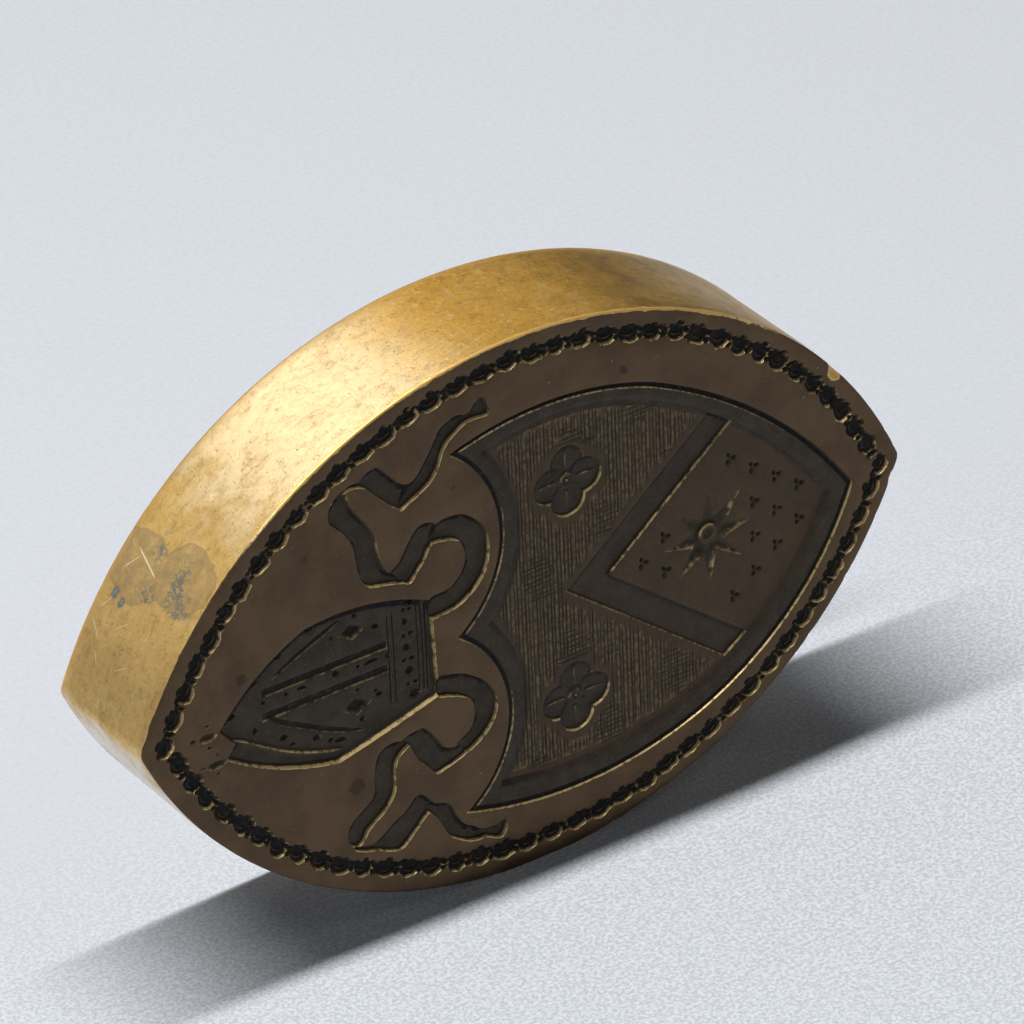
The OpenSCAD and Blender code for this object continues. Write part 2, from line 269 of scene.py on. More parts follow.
class Cut:
    """A shape sunk into the face, or raised from a floor where its depth is negative.

    Cuts of one layer join at their deepest, and layers add up. Shine is how bright its walls are painted
    where they face the light, as worn brass and painted highlight, grime how dark its floor is, and corner
    how dark the painted shade along the floor's edge is, which reaches further at walls turned from the
    light.
    """

    def __init__(
        self, line, depth, wall, layer=0, ramp=steep, shine=0.0, grime=0.0, corner=0.0, within=None,
    ):
        self.line = counter_clockwise(np.asarray(line, float))
        self.depth = depth
        self.wall = wall
        self.layer = layer
        self.ramp = ramp
        self.shine = shine
        self.grime = grime
        self.corner = corner
        self.within = within

    def guides(self):
        """The lines that the face's mesh follows: lip, edge and foot of the wall, the ends of the painted
        highlight on the wall, and the ends of the painted shade past its foot.
        """
        lines = [moved_in(self.line, -LIP), self.line, moved_in(self.line, self.wall)]
        if self.shine > FINE_SHINE:
            lines += [moved_in(self.line, share * self.wall) for share in (LIT_WORN_SHARE, LIT_WEAR_END)]
        if self.corner:
            shade = self.wall + SHADE_REACH * abs(self.depth)
            steps = (self.wall + CORNER_SHADE_REACH, shade, shade + CORNER_SHADE_REACH)
            lines += [moved_in(self.line, step) for step in steps]
        if self.depth < 0 and self.shine > FINE_SHINE:
            lines.append(moved_in(self.line, self.wall + LIP))
        if self.within is not None:
            steps = (-LIP, 0, LIT_WORN_SHARE * self.wall, LIT_WEAR_END * self.wall, self.wall)
            lines += [moved_in(self.within, step) for step in steps]
        return lines

    def section(self, points):
        """Depth, worn brightness with painted highlight, and darkness with painted shade, for each point."""
        d, inwards = nearest_edge(points, self.line)
        if self.within is not None:
            limit, limit_inwards = nearest_edge(points, self.within)
            inwards = np.where((limit < d)[:, None], limit_inwards, inwards)
            d = np.minimum(d, limit)
        lip = soft(np.clip(1 + d / LIP, 0, 1))
        across = np.clip(d / self.wall, 0, 1)
        drop = min(LIP_DROP, abs(self.depth) / 4)
        depth = drop * lip + (abs(self.depth) - drop) * self.ramp(across)
        # Painted highlight: walls that face the light are painted as bright worn brass, walls turned from it
        # not at all
        facing = inwards @ LIGHT_WAY * (1 if self.depth > 0 else -1)
        lit = np.clip(FACING_GAIN * facing, 0, 1)
        from_lip = across if self.depth > 0 else 1 - across
        wear = self.shine * lit * np.clip((LIT_WEAR_END - from_lip) / (LIT_WEAR_END - LIT_WORN_SHARE), 0, 1)
        wear *= lip if self.depth > 0 else np.clip(1 - (d - self.wall) / LIP, 0, 1)
        # Painted shade: past the foot of walls turned from the light the floor darkens further, the deeper
        # the cut; walls that face the light keep only a little of it
        shade = self.wall + SHADE_REACH * abs(self.depth) * np.clip(-FACING_GAIN * facing, 0, 1)
        past_foot = np.clip((d - shade) / CORNER_SHADE_REACH, 0, 1)
        grime = self.grime * soft(across) + self.corner * (1 - LIT_WALL_SHADE_DROP * lit) * across * (1 - past_foot)
        return depth, wear, grime


class Groove:
    """A fine V-shaped line that runs out to nothing at its ends."""

    def __init__(self, points, half_width, depth):
        self.points = np.array(points)
        self.widths = np.full(len(points), half_width)
        self.widths[[0, -1]] *= 0.15
        self.depth = depth

    def guides(self):
        side = left_of(unit(np.gradient(self.points, axis=0))) * self.widths[:, None]
        return [self.points - side, self.points, self.points + side]

    def sunk(self, points):
        """Depth of the groove at each point."""
        a, b = self.points[:-1], self.points[1:]
        way = b - a
        rel = points[:, None] - a
        t = np.clip((rel * way).sum(-1) / (way**2).sum(-1), 0, 1)
        gap = np.linalg.norm(rel - way * t[..., None], axis=-1)
        width = self.widths[:-1] * (1 - t) + self.widths[1:] * t
        share = width / self.widths.max()
        return self.depth * (share * np.clip(1 - gap / width, 0, 1)).max(1)


def sink_grooves(points, grooves):
    """Depth of the deepest groove at each point."""
    total = np.zeros(len(points))
    for groove in grooves:
        low = groove.points.min(0) - groove.widths.max()
        high = groove.points.max(0) + groove.widths.max()
        near = np.nonzero(((points > low) & (points < high)).all(1))[0]
        if len(near):
            total[near] = np.maximum(total[near], groove.sunk(points[near]))
    return total


def sink(points, cuts):
    """Depth below the face, brightness of worn brass and painted highlight, and darkness of soiled floors
    and painted shade at each point.
    """
    layers, found = {}, []
    for cut in cuts:
        low, high = cut.line.min(0) - LIP, cut.line.max(0) + LIP
        near = np.nonzero(((points > low) & (points < high)).all(1))[0]
        depth, wear, grime = cut.section(points[near])
        held = layers.setdefault((cut.layer, cut.depth < 0), np.zeros(len(points)))
        held[near] = np.maximum(held[near], depth)
        found.append((cut, near, depth, wear, grime))
    total, all_wear, all_grime = np.zeros((3, len(points)))
    for (_, raised), depth in layers.items():
        total += -depth if raised else depth
    darkness = {layer: np.zeros(len(points)) for layer, _ in layers}
    for cut, near, depth, wear, grime in found:
        shows = depth > layers[cut.layer, cut.depth < 0][near] - LAYER_SLACK
        all_wear[near] = np.maximum(all_wear[near], wear * shows)
        held = darkness[cut.layer][near]
        darkness[cut.layer][near] = np.where(np.abs(grime) * shows > np.abs(held), grime, held)
    for grime in darkness.values():
        all_grime += grime
    return np.maximum(total, 0), all_wear, np.clip(all_grime, 0, 1)


# The border: a chain of small punched rosettes
BORDER_INSET = 2.25
BORDER_COUNT = 37
BORDER_DEPTH = 0.5
ROSETTE_SIZE = (1.08, 0.8)
CORNER_SPOTS = [(-0.72, 0.5), (0.05, 0.72), (0.72, 0.42)]
CORNER_R = 0.4
CORNER_SHAPE = (1.15, 0.85)
LEAF_RISE = 0.26
LEAF = [(-0.62, -0.1, 0.07), (-0.2, -0.3, 0.13), (0.25, -0.28, 0.13), (0.6, 0.02, 0.07)]
LINK_R = 0.38
LINK_SPOTS = (-0.22, 0.3)
PIT_WALL = 0.18
LEAF_WALL = 0.1
# How far punches stray from their places, and rosettes from the chain
STRAY = 0.05
ROSETTE_STRAY = 0.06
BORDER_R = ARC_R - BORDER_INSET
# The border drifts towards the edge along the lower right: how far, and over which angle
BORDER_DRIFT = 0.45
DRIFT_ANGLE = 0.5
BORDER_HALF_ANGLE = math.acos(ARC_SHIFT / BORDER_R)


def border_spot(k, side):
    """Place along the border's middle line, with the ways along it and across it, upwards."""
    a = BORDER_HALF_ANGLE * (2 * k / BORDER_COUNT - 1)
    radius = BORDER_R
    if side < 0 and a < 0:
        radius += BORDER_DRIFT * min(1, -a / DRIFT_ANGLE)
    spot = side * np.array([radius * math.sin(a), radius * math.cos(a) - ARC_SHIFT])
    along = np.array([math.cos(a), -math.sin(a)])
    return spot, along, left_of(along)


def rosette_cuts(spot, along, across):
    """One rosette of the border: a pit with small pits round its upper edge and a leaf standing in it."""
    def place(u, v):
        return spot + u * along + v * across

    turn = math.atan2(along[1], along[0])
    size = np.array(ROSETTE_SIZE) * rng.uniform(0.86, 1.1, 2)
    pit = ring(spot, size, 18, turn + rng.uniform(-0.2, 0.2)) + rng.normal(0, STRAY, (18, 2))
    cuts = [Cut(pit, BORDER_DEPTH * rng.uniform(0.9, 1.1), PIT_WALL, shine=1.0, grime=1.0)]
    for u, v in CORNER_SPOTS:
        r = CORNER_R * rng.uniform(0.8, 1.2)
        middle = place(u, v) + rng.normal(0, STRAY, 2)
        line = ring(middle, [share * r for share in CORNER_SHAPE], 9, turn + rng.uniform(-0.6, 0.6))
        cuts.append(Cut(line, BORDER_DEPTH * rng.uniform(0.7, 1), 0.4 * r, shine=0.5, grime=1.0))
    flip = rng.choice([-1, 1])
    leaf = [[*place(flip * u, v), w] for u, v, w in LEAF]
    rise = LEAF_RISE * rng.uniform(0.6, 1.1)
    cuts.append(Cut(strand(leaf), -rise, LEAF_WALL, layer=1, shine=0.3, grime=-0.2))
    return cuts


def border_cuts():
    cuts = []
    for side in (1, -1):
        for k in range(BORDER_COUNT):
            spot, along, across = border_spot(k, side)
            cuts += rosette_cuts(spot + rng.normal(0, ROSETTE_STRAY, 2), along, across)
            between, along, across = border_spot(k + 0.5, side)
            r = LINK_R * rng.uniform(0.8, 1.15)
            for away in LINK_SPOTS:
                line = ring(between + away * across + rng.normal(0, STRAY, 2), (r, 0.8 * r), 9)
                cuts.append(Cut(line, 0.8 * BORDER_DEPTH, 0.3 * r, shine=0.4, grime=1.0))
    return cuts


# The mitre, lying with its peak to the left
MITRE_DEPTH = 0.75
MITRE_LINE = [
    [-30.6, -0.5, 0.7], [-22, 6, 1], [-9.7, 4, 0], [-9.4, -5.4, 0.1],
    [-19.3, -8, 0.7], [-30.1, -3.4, 0], [-29.2, -2.3, 0],
]
MITRE_RIDGE = [
    [-29.4, -2, 0.12], [-28, -2.8, 0.3], [-26, -4.2, 0.34], [-24, -5.4, 0.34], [-22, -6.3, 0.34],
    [-20, -6.9, 0.26], [-18.6, -7.2, 0.1],
]
MITRE_SEAMS = [
    [[-24.9, 2, 0.1], [-23, 3, 0.24], [-21, 3.9, 0.26], [-19.5, 4.5, 0.26], [-18, 5.1, 0.1]],
    [
        [-25.7, -1.3, 0.12], [-24, -2.6, 0.3], [-22, -3.7, 0.3], [-20, -4.8, 0.3], [-18, -5.7, 0.26],
        [-16.4, -6.3, 0.12],
    ],
]
MITRE_BARS = [[-19.8, 0.95], [-19.8, -1.35]]
MITRE_BAR_SIZE = (12.4, 0.8)
BAND_LINES = [-13.6, -13.1, -10.75, -10.3, -9.95]
BAND_LINE_WIDTH = 0.22
# Depth and width of the walls of each kind of detail
RIDGE_CUT = (-0.34, 0.22)
SEAM_CUT = (0.2, 0.16)
BAR_CUT = (0.26, 0.2)
BAND_CUT = (0.14, 0.09)
LOZENGE_CUT = (0.4, 0.4)
MITRE_WALL = 0.2
JEWEL_DEPTH = 0.3
CHIP_DEPTH = 0.34
LOZENGES = [[-17, 3.5, 2.9, 1.7], [-16.9, -3.8, 3.0, 1.8]]
# Punched jewels of the mitre: [u, v, half length, half width]
JEWELS = [
    [-25.8, 0.05, 0.22, 0.2], [-23.6, 0, 0.2, 0.18], [-22.1, 0, 0.42, 0.18], [-18.8, 0.1, 0.32, 0.26],
    [-16.6, -0.1, 0.2, 0.16], [-15.4, -0.1, 0.62, 0.18], [-13.75, -0.15, 0.16, 0.22],
    [-29, -0.15, 0.48, 0.26], [-26.65, 2.25, 0.42, 0.3], [-24.2, 3.9, 0.4, 0.3], [-23.2, 4.6, 0.16, 0.22],
    [-21.1, 5.3, 0.4, 0.26], [-19.7, 5.8, 0.2, 0.2], [-18.7, 5.92, 0.62, 0.24], [-16.7, 4.9, 0.24, 0.18],
    [-19, 3.6, 0.16, 0.18], [-14.75, 3.1, 0.34, 0.24], [-26.75, -2.35, 0.26, 0.32],
    [-24.1, -4.05, 0.36, 0.26], [-23.3, -5, 0.28, 0.16], [-21, -5.3, 0.34, 0.26], [-19.6, -6.1, 0.28, 0.2],
    [-18.7, -6.45, 0.52, 0.22], [-16.45, -5.25, 0.26, 0.24], [-16.75, -2.3, 0.2, 0.14],
    [-14.7, -3.5, 0.3, 0.26], [-15, -3.05, 0.2, 0.14], [-11.3, 4.25, 0.42, 0.3], [-11.95, 3.6, 0.2, 0.16],
    [-11.35, 3.5, 0.2, 0.2], [-11.85, 2.4, 0.26, 0.34], [-12.05, 1.1, 0.2, 0.14],
    [-11.35, 1.15, 0.24, 0.2], [-11.8, -0.1, 0.38, 0.34], [-12.1, -1.3, 0.26, 0.16],
    [-11.35, -1.3, 0.26, 0.2], [-11.65, -2.45, 0.42, 0.4], [-11.8, -3.7, 0.2, 0.2],
    [-11.1, -3.7, 0.24, 0.18], [-11.3, -4.8, 0.44, 0.38],
]
# The crosses at the mitre's peak, as single chips: [u, v, half length, half width]
PEAK_CHIPS = [
    [-31.7, -0.6, 0.85, 0.46], [-33.1, -0.45, 0.28, 0.2], [-31.7, 0.5, 0.22, 0.16],
    [-31.6, -1.65, 0.22, 0.2], [-31, -3.5, 0.9, 0.42], [-32.3, -3.4, 0.34, 0.12], [-30.9, -2.5, 0.14, 0.1],
    [-30.9, -4.4, 0.2, 0.12],
]


def mitre_cuts():
    cuts = [Cut(outline(MITRE_LINE), MITRE_DEPTH, MITRE_WALL, shine=1.0, grime=0.62, corner=0.38)]
    cuts.append(Cut(strand(MITRE_RIDGE), *RIDGE_CUT, layer=1, shine=0.7, grime=-0.3))
    for seam in MITRE_SEAMS:
        cuts.append(Cut(strand(seam), *SEAM_CUT, layer=1, shine=0.4, grime=0.3))
    for spot in MITRE_BARS:
        cuts.append(Cut(block(spot, MITRE_BAR_SIZE), *BAR_CUT, layer=1, shine=0.5, grime=0.3))
    for u in BAND_LINES:
        line = stroke([[u, -4.9], [u + 0.05, -0.5], [u, 3.6]], BAND_LINE_WIDTH / 2)
        cuts.append(Cut(line, *BAND_CUT, layer=1, shine=0.35, grime=0.4))
    for u, v, length, width in LOZENGES:
        cuts.append(Cut(diamond((u, v), (length, width)), *LOZENGE_CUT, layer=1, shine=0.45, grime=0.32))
    for u, v, half_l, half_w in JEWELS:
        line = ring((u, v), (1.2 * half_l, 1.25 * half_w), 9, rng.uniform(-0.25, 0.25))
        wall = 0.5 * min(half_l, half_w)
        cuts.append(Cut(line, JEWEL_DEPTH, wall, layer=2, ramp=bowl, shine=0.3, grime=1.0))
    for u, v, half_l, half_w in PEAK_CHIPS:
        line = ring((u, v), (half_l, half_w), 14)
        cuts.append(Cut(line, CHIP_DEPTH, 0.7 * min(half_l, half_w), ramp=bowl, shine=0.5, grime=0.8))
    return cuts


# The ribbons: outlines of the strands, each folding over at the next
RIBBON_DEPTH = 0.5
FOLD_DEPTH = 0.09
RIBBON_WALL = 0.14
RIBBON_DIRT = 0.47
FOLD_DIRT = 0.1
UPPER_RIBBON = [
    [
        [-9.9, 2.35], [-8.4, 2.2], [-7, 2.45], [-5.8, 3.1], [-4.8, 4], [-4.1, 5.2], [-3.8, 6.8],
        [-3.9, 8.2], [-4.4, 9.4], [-5.2, 10.3], [-6.2, 11], [-7.2, 11.25], [-8.4, 11.2], [-9.1, 10.7],
        [-9.4, 9.5], [-8.4, 9.25], [-7.4, 9], [-6.6, 8.5], [-6.2, 7.4], [-6.3, 6.2], [-6.9, 5.2],
        [-8, 4.45], [-9.8, 4.2],
    ],
    [
        [-13.5, 8.1], [-12.6, 8.8], [-12, 9.7], [-11.4, 10.6], [-10.9, 11.2], [-10.2, 11.55], [-9.3, 11.4],
        [-8.8, 10.9], [-9.2, 9.5], [-9.7, 8.9], [-10.2, 8], [-10.9, 7.2], [-11.6, 6.4], [-12.3, 6.7],
        [-13.4, 7.1],
    ],
    [
        [-12.3, 6.75], [-13.3, 7], [-14.4, 7.25], [-15.4, 7.5], [-16.05, 8.1], [-16.5, 9.2], [-16.7, 10.5],
        [-16.9, 11.9], [-17.4, 13], [-18.2, 14], [-18.95, 14.9], [-19.1, 15.7], [-18.8, 16.5],
        [-18.1, 17.05], [-17.3, 17.1], [-17.15, 16.3], [-16.6, 15.2], [-15.9, 14.2], [-15.2, 13.1],
        [-14.75, 11.9], [-14.5, 10.4], [-14.2, 9.2], [-13.7, 8.3], [-12.9, 7.7],
    ],
    [
        [-18.8, 16.7], [-18, 17.3], [-17, 17.75], [-15.9, 17.85], [-15.3, 18.3], [-14.5, 18.5],
        [-13.9, 18.25], [-13, 17.2], [-12, 16.1], [-11.3, 15.8], [-11, 15.3], [-11.5, 14.3], [-12.1, 13.7],
        [-12.6, 14], [-13.4, 14.7], [-14.4, 15.8], [-15.4, 16.9], [-16.2, 17.3], [-17.1, 17.35],
        [-17.9, 16.95],
    ],
    [
        [-12.2, 13.65], [-11, 14.1], [-10, 14.6], [-9.1, 15.2], [-8.5, 15.95], [-8.15, 16.7],
        [-7.85, 17.5], [-7.3, 18.25], [-6.5, 18.85], [-5.6, 19.35], [-4.6, 19.5], [-3.5, 19.4],
        [-3.15, 19.7], [-3.3, 20.4], [-3.6, 21.1], [-4.05, 21.35], [-4.6, 20.9], [-5.2, 20.3],
        [-5.7, 20.3], [-6.4, 20.5], [-7.3, 20.2], [-8.05, 19.75], [-8.6, 18.9], [-9.2, 17.95],
        [-9.8, 17.1], [-10.3, 16.4], [-10.9, 15.9], [-11.6, 15.6],
    ],
]
LOWER_RIBBON = [
    [
        [-9.4, -3.7], [-8.3, -3.8], [-7, -4.2], [-5.9, -4.9], [-5, -5.6], [-4.3, -6.5], [-3.85, -7.5],
        [-3.7, -8.5], [-3.95, -9.6], [-4.6, -10.6], [-5.6, -11.45], [-6.8, -12.05], [-7.3, -11.7],
        [-7.9, -10.8], [-7.2, -10.4], [-6.5, -9.9], [-6.1, -9.2], [-6, -8.3], [-6.1, -7.4], [-6.6, -6.8],
        [-7.4, -6.3], [-8.4, -5.9], [-9.5, -5.4],
    ],
    [
        [-13.2, -8.3], [-12.2, -8], [-11.2, -7.95], [-10.7, -8.3], [-10.1, -9.1], [-9.5, -10.1],
        [-9, -10.75], [-8.2, -11], [-7.2, -11.2], [-6.9, -12], [-8, -12.5], [-9, -12.8], [-9.95, -12.95],
        [-10.6, -12.2], [-11.4, -11.3], [-12, -10.3], [-12.5, -9.2], [-12.9, -8.9],
    ],
    [
        [-12.6, -8.8], [-13.4, -8.35], [-14.3, -8.2], [-15.1, -8.45], [-15.7, -9], [-16, -10],
        [-16.15, -11.3], [-16.2, -12.4], [-16.6, -13.05], [-17.4, -13.6], [-18.3, -14.2], [-18.9, -15],
        [-19, -15.9], [-18.7, -16.65], [-18, -16.95], [-17.4, -16.6], [-17.05, -15.95], [-16.4, -15.4],
        [-15.5, -14.8], [-14.7, -14], [-14.15, -13], [-14.1, -11.9], [-13.95, -10.6], [-13.5, -9.75],
        [-12.6, -9.15],
    ],
    [
        [-18.4, -16.85], [-17.2, -17.2], [-16.3, -17.2], [-15.3, -16.6], [-14.4, -16], [-13.4, -15.5],
        [-12.8, -14.95], [-12.3, -14.45], [-11.8, -14.3], [-11.3, -14.6], [-10.8, -15.2], [-10.4, -15.8],
        [-10.7, -16.2], [-11.4, -16.8], [-12.2, -17.6], [-13, -18.35], [-13.9, -18.95], [-15.2, -18.55],
        [-16.2, -18.05], [-17.3, -17.75], [-18.3, -17.25],
    ],
    [
        [-11.3, -15.95], [-10.6, -15.75], [-9.8, -15.95], [-9, -16.4], [-8.6, -17], [-8.3, -17.8],
        [-7.8, -18.6], [-7.3, -19.2], [-6.6, -19.6], [-6, -20.1], [-5, -20.4], [-4.2, -20.4],
        [-3.5, -20.2], [-3.3, -20.9], [-3.6, -21.6], [-3.95, -21.85], [-4.6, -21.6], [-5.4, -21.2],
        [-6.2, -21.15], [-7, -20.95], [-8, -20.4], [-8.9, -19.7], [-9.4, -18.9], [-9.8, -18], [-10.4, -17],
        [-11, -16.4],
    ],
]


def ribbon_cuts():
    cuts = []
    for ribbon in (UPPER_RIBBON, LOWER_RIBBON):
        for i, points in enumerate(ribbon):
            under = i % 2
            depth = RIBBON_DEPTH + (1 - under) * FOLD_DEPTH
            darkness = RIBBON_DIRT + FOLD_DIRT * under
            cuts.append(Cut(loop(points), depth, RIBBON_WALL, shine=0.95, grime=darkness, corner=1 - darkness))
    return cuts


# The shield, lying with its top to the left: a chevron between two quatrefoils and a star
GROOVE_DEPTH = 0.36
GROOVE_WIDTH = 0.4
GROOVE_WALL = 0.12
RIM_RISE = 0.22
RIM_WALL = 0.14
FIELD_DEPTH = 0.5
CHARGE_DEPTH = 0.36
CHARGE_WALL = 0.2
SHIELD_LINE = [
    [-7.3, 17.05, 1.8], [13, 16.5, 1.9], [33.1, -0.8, 3.3],
    [13, -18.75, 1.5], [-7.2, -18, -4.65], [-7.3, -0.65, -4.6],
]
FIELD_LINE = [
    [-4.2, 16.1, 1.5], [12.5, 15.2, 1.9], [31, -0.8, 2.9],
    [12.5, -17.2, 1], [-3.9, -16.9, -2.9], [-4.2, -0.7, -3],
]
FIELD_SLOPE = 0.5
AXIS_V = -0.8
CHEVRON_TIP_U = 4.0
CHEVRON_BAND = 4.4
CHEVRON_REACH = 24.0
CHEVRON_SLOPE = 0.8
CHEVRON_CLEAR = 0.4
QUATREFOILS = [[4.6, 9.8], [4.6, -11.4]]
FOIL_R = 1.7
FOIL_CLEAR = 0.2
PETAL_WAYS = [np.array([math.cos(k * math.pi / 2), math.sin(k * math.pi / 2)]) for k in range(4)]
# The vein along a petal: distance from the middle and half width
PETAL_VEIN = [(1.0, 0.14), (1.9, 0.2), (2.8, 0.08)]
VEIN_CUT = (-0.16, 0.1)
STAR = (18.6, -0.8)
STAR_R = 4.6
STAR_WAIST_R = 1.9
STAR_POINTS = 8
STAR_EXTRA_DEPTH = 0.1
STAR_WALL = 0.6
# Round details: radius, depth and width of the wall
STAR_BOSS = (1.15, -0.36, 0.3)
STAR_PIT = (0.6, 0.22, 0.25)
FOIL_EYE = (0.85, -0.24, 0.25)
FOIL_PIT = (0.3, 0.2, 0.2)
# Three-punch marks: first and last row and column with their steps, gaps kept from the field's edge and
# from the charges, reach of the punches from the middle, and their depth
MARK_ROWS = (9.5, 31, 2.3)
MARK_COLUMNS = (-15.5, 15, 3.4)
MARK_EDGE_CLEAR = 1.7
MARK_CLEAR = 1.0
MARK_REACH = 0.36
MARK_DEPTH = 0.24
HATCH_STEP = 0.37
HATCH_DEPTH = 0.1
CROSS_HATCH_STEP = 0.45
CROSS_HATCH_DEPTH = 0.06
HATCH_HALF_WIDTH = 0.1
RIDGE_WEAR = 0.24
HATCH_POINT_STEP = 0.7
HATCH_SHAKE = 0.018
HATCH_LEAN = 0.05
HATCH_GRIME = 0.6
# Where the hatching lines run: from and to u and v, for the lines across and for those along
HATCH_U = (-7.5, 22)
HATCH_V = (17.5, -18.5)
CROSS_HATCH_U = (-7, 21)
CROSS_HATCH_V = (-17.5, 17)
PATCH_LEVEL = 0.55


def chevron_line():
    """The chevron's outline, running past the field at its ends."""
    rise = CHEVRON_REACH * CHEVRON_SLOPE
    near, far = CHEVRON_TIP_U, CHEVRON_TIP_U + CHEVRON_BAND
    corners = [
        [near, 0], [near + CHEVRON_REACH, rise], [far + CHEVRON_REACH, rise],
        [far, 0], [far + CHEVRON_REACH, -rise], [near + CHEVRON_REACH, -rise],
    ]
    return outline([[u, AXIS_V + v, 0] for u, v in corners])


def star_line():
    turns = [math.pi * k / STAR_POINTS for k in range(2 * STAR_POINTS)]
    reach = [STAR_WAIST_R if k % 2 else STAR_R for k in range(2 * STAR_POINTS)]
    u, v = STAR
    return outline([[u + r * math.cos(a), v + r * math.sin(a), 0] for r, a in zip(reach, turns)])


def round_cut(spot, size, count, **rest):
    radius, depth, wall = size
    return Cut(ring(spot, (radius, radius), count), depth, wall, **rest)


def foil_cuts(spot):
    """A quatrefoil of four bowls with a raised eye and a vein along each petal."""
    spot = np.array(spot)
    cuts = []
    for way in PETAL_WAYS:
        petal = (FOIL_R, CHARGE_DEPTH, CHARGE_WALL)
        cuts.append(round_cut(spot + way * FOIL_R, petal, 26, layer=3, shine=0.9, grime=0.2, corner=0.4))
        vein = [[*(spot + way * reach), half_width] for reach, half_width in PETAL_VEIN]
        cuts.append(Cut(strand(vein), *VEIN_CUT, layer=4, shine=0.4, grime=-0.2))
    cuts.append(round_cut(spot, FOIL_EYE, 16, layer=5, shine=0.4, grime=-0.1))
    cuts.append(round_cut(spot, FOIL_PIT, 9, layer=6, ramp=bowl, shine=0.3, grime=0.6))
    return cuts


def on_ground(points, field, margin=0.1):
    """Whether each point is on the hatched ground: in the field, above the chevron, off the quatrefoils."""
    clear = depth_inside(points, field) > FIELD_SLOPE + margin
    past_tip = points[:, 0] - CHEVRON_TIP_U + CHEVRON_CLEAR + 1.6 * margin
    clear &= np.abs(points[:, 1] - AXIS_V) > CHEVRON_SLOPE * past_tip
    for spot in QUATREFOILS:
        for way in PETAL_WAYS:
            gap = np.linalg.norm(points - spot - way * FOIL_R, axis=1)
            clear &= gap > FOIL_R + FOIL_CLEAR + margin
    return clear


def in_patches(points):
    """Whether each point lies in one of the loose patches that are hatched both ways."""
    u, v = points[:, 0], points[:, 1]
    return np.sin(0.8 * u + 0.3 * v) + np.sin(0.65 * v - 0.25 * u + 1) > PATCH_LEVEL


def hatch_run(start, end, depth, field, patchy=False):
    """Grooves along one hatching line, broken off where it leaves the ground."""
    count = int(math.dist(start, end) / HATCH_POINT_STEP)
    t = np.linspace(0, 1, count)[:, None]
    points = np.array(start) * (1 - t) + np.array(end) * t
    points += rng.normal(0, HATCH_SHAKE, points.shape)
    clear = on_ground(points, field)
    if patchy:
        clear &= in_patches(points)
    grooves, run = [], []
    for point, kept in zip(points, clear):
        if kept:
            run.append(point)
            continue
        if len(run) > 2:
            grooves.append(Groove(run, HATCH_HALF_WIDTH, depth * rng.uniform(0.6, 1.25)))
        run = []
    return grooves


def hatching():
    """Fine lines cut across the ground above the chevron, with fainter ones the other way in places."""
    field = outline(FIELD_LINE)
    grooves = []
    for u in np.arange(*HATCH_U, HATCH_STEP):
        lean = rng.normal(0, HATCH_LEAN, 2)
        start, end = [(u + aside, v) for aside, v in zip(lean, HATCH_V)]
        grooves += hatch_run(start, end, HATCH_DEPTH, field)
    for v in np.arange(*CROSS_HATCH_V, CROSS_HATCH_STEP):
        lean = rng.normal(0, HATCH_LEAN, 2)
        start, end = [(u, v + aside) for aside, u in zip(lean, CROSS_HATCH_U)]
        grooves += hatch_run(start, end, CROSS_HATCH_DEPTH, field, patchy=True)
    return grooves


def mark_cuts(field, chevron, star):
    """Small three-punch marks scattered on the ground below the chevron."""
    cuts = []
    for row, u in enumerate(np.arange(*MARK_ROWS)):
        for v in np.arange(*MARK_COLUMNS):
            spot = np.array([u, AXIS_V + v + MARK_COLUMNS[2] / 2 * (row % 2)])
            clear = depth_inside(spot[None], field)[0] > MARK_EDGE_CLEAR
            clear = clear and depth_inside(spot[None], star)[0] < -MARK_CLEAR
            clear = clear and depth_inside(spot[None], chevron)[0] < -MARK_CLEAR
            if not clear or abs(spot[1] - AXIS_V) > CHEVRON_SLOPE * (u - CHEVRON_TIP_U - CHEVRON_BAND):
                continue
            for k in range(3):
                a = 2 * math.pi * k / 3 + rng.uniform(-0.2, 0.2)
                r = rng.uniform(0.2, 0.27)
                punch = ring(spot + MARK_REACH * np.array([math.cos(a), math.sin(a)]), (1.3 * r, r), 8, a)
                cuts.append(Cut(punch, MARK_DEPTH, 0.6 * r, layer=3, ramp=bowl, grime=0.9))
    return cuts


def shield_cuts():
    edge, field = outline(SHIELD_LINE), outline(FIELD_LINE)
    chevron, star = chevron_line(), star_line()
    cuts = [
        Cut(edge, GROOVE_DEPTH, GROOVE_WALL, shine=0.9, grime=1.0),
        Cut(moved_in(edge, GROOVE_WIDTH), -RIM_RISE, RIM_WALL, layer=1, shine=0.7, grime=-0.45),
        Cut(field, FIELD_DEPTH, FIELD_SLOPE, layer=2, ramp=soft, grime=-0.3, corner=0.3),
        Cut(chevron, CHARGE_DEPTH, CHARGE_WALL, layer=3, shine=0.7, grime=0.15, corner=0.4,
            within=moved_in(field, FIELD_SLOPE)),
        Cut(star, CHARGE_DEPTH + STAR_EXTRA_DEPTH, STAR_WALL, layer=3, shine=0.45, grime=0.3),
        round_cut(STAR, STAR_BOSS, 22, layer=4, ramp=bowl, shine=0.6, grime=-0.3),
        round_cut(STAR, STAR_PIT, 14, layer=5, ramp=bowl, shine=0.3, grime=0.5),
    ]
    for spot in QUATREFOILS:
        cuts += foil_cuts(spot)
    cuts += mark_cuts(field, chevron, star)
    return cuts


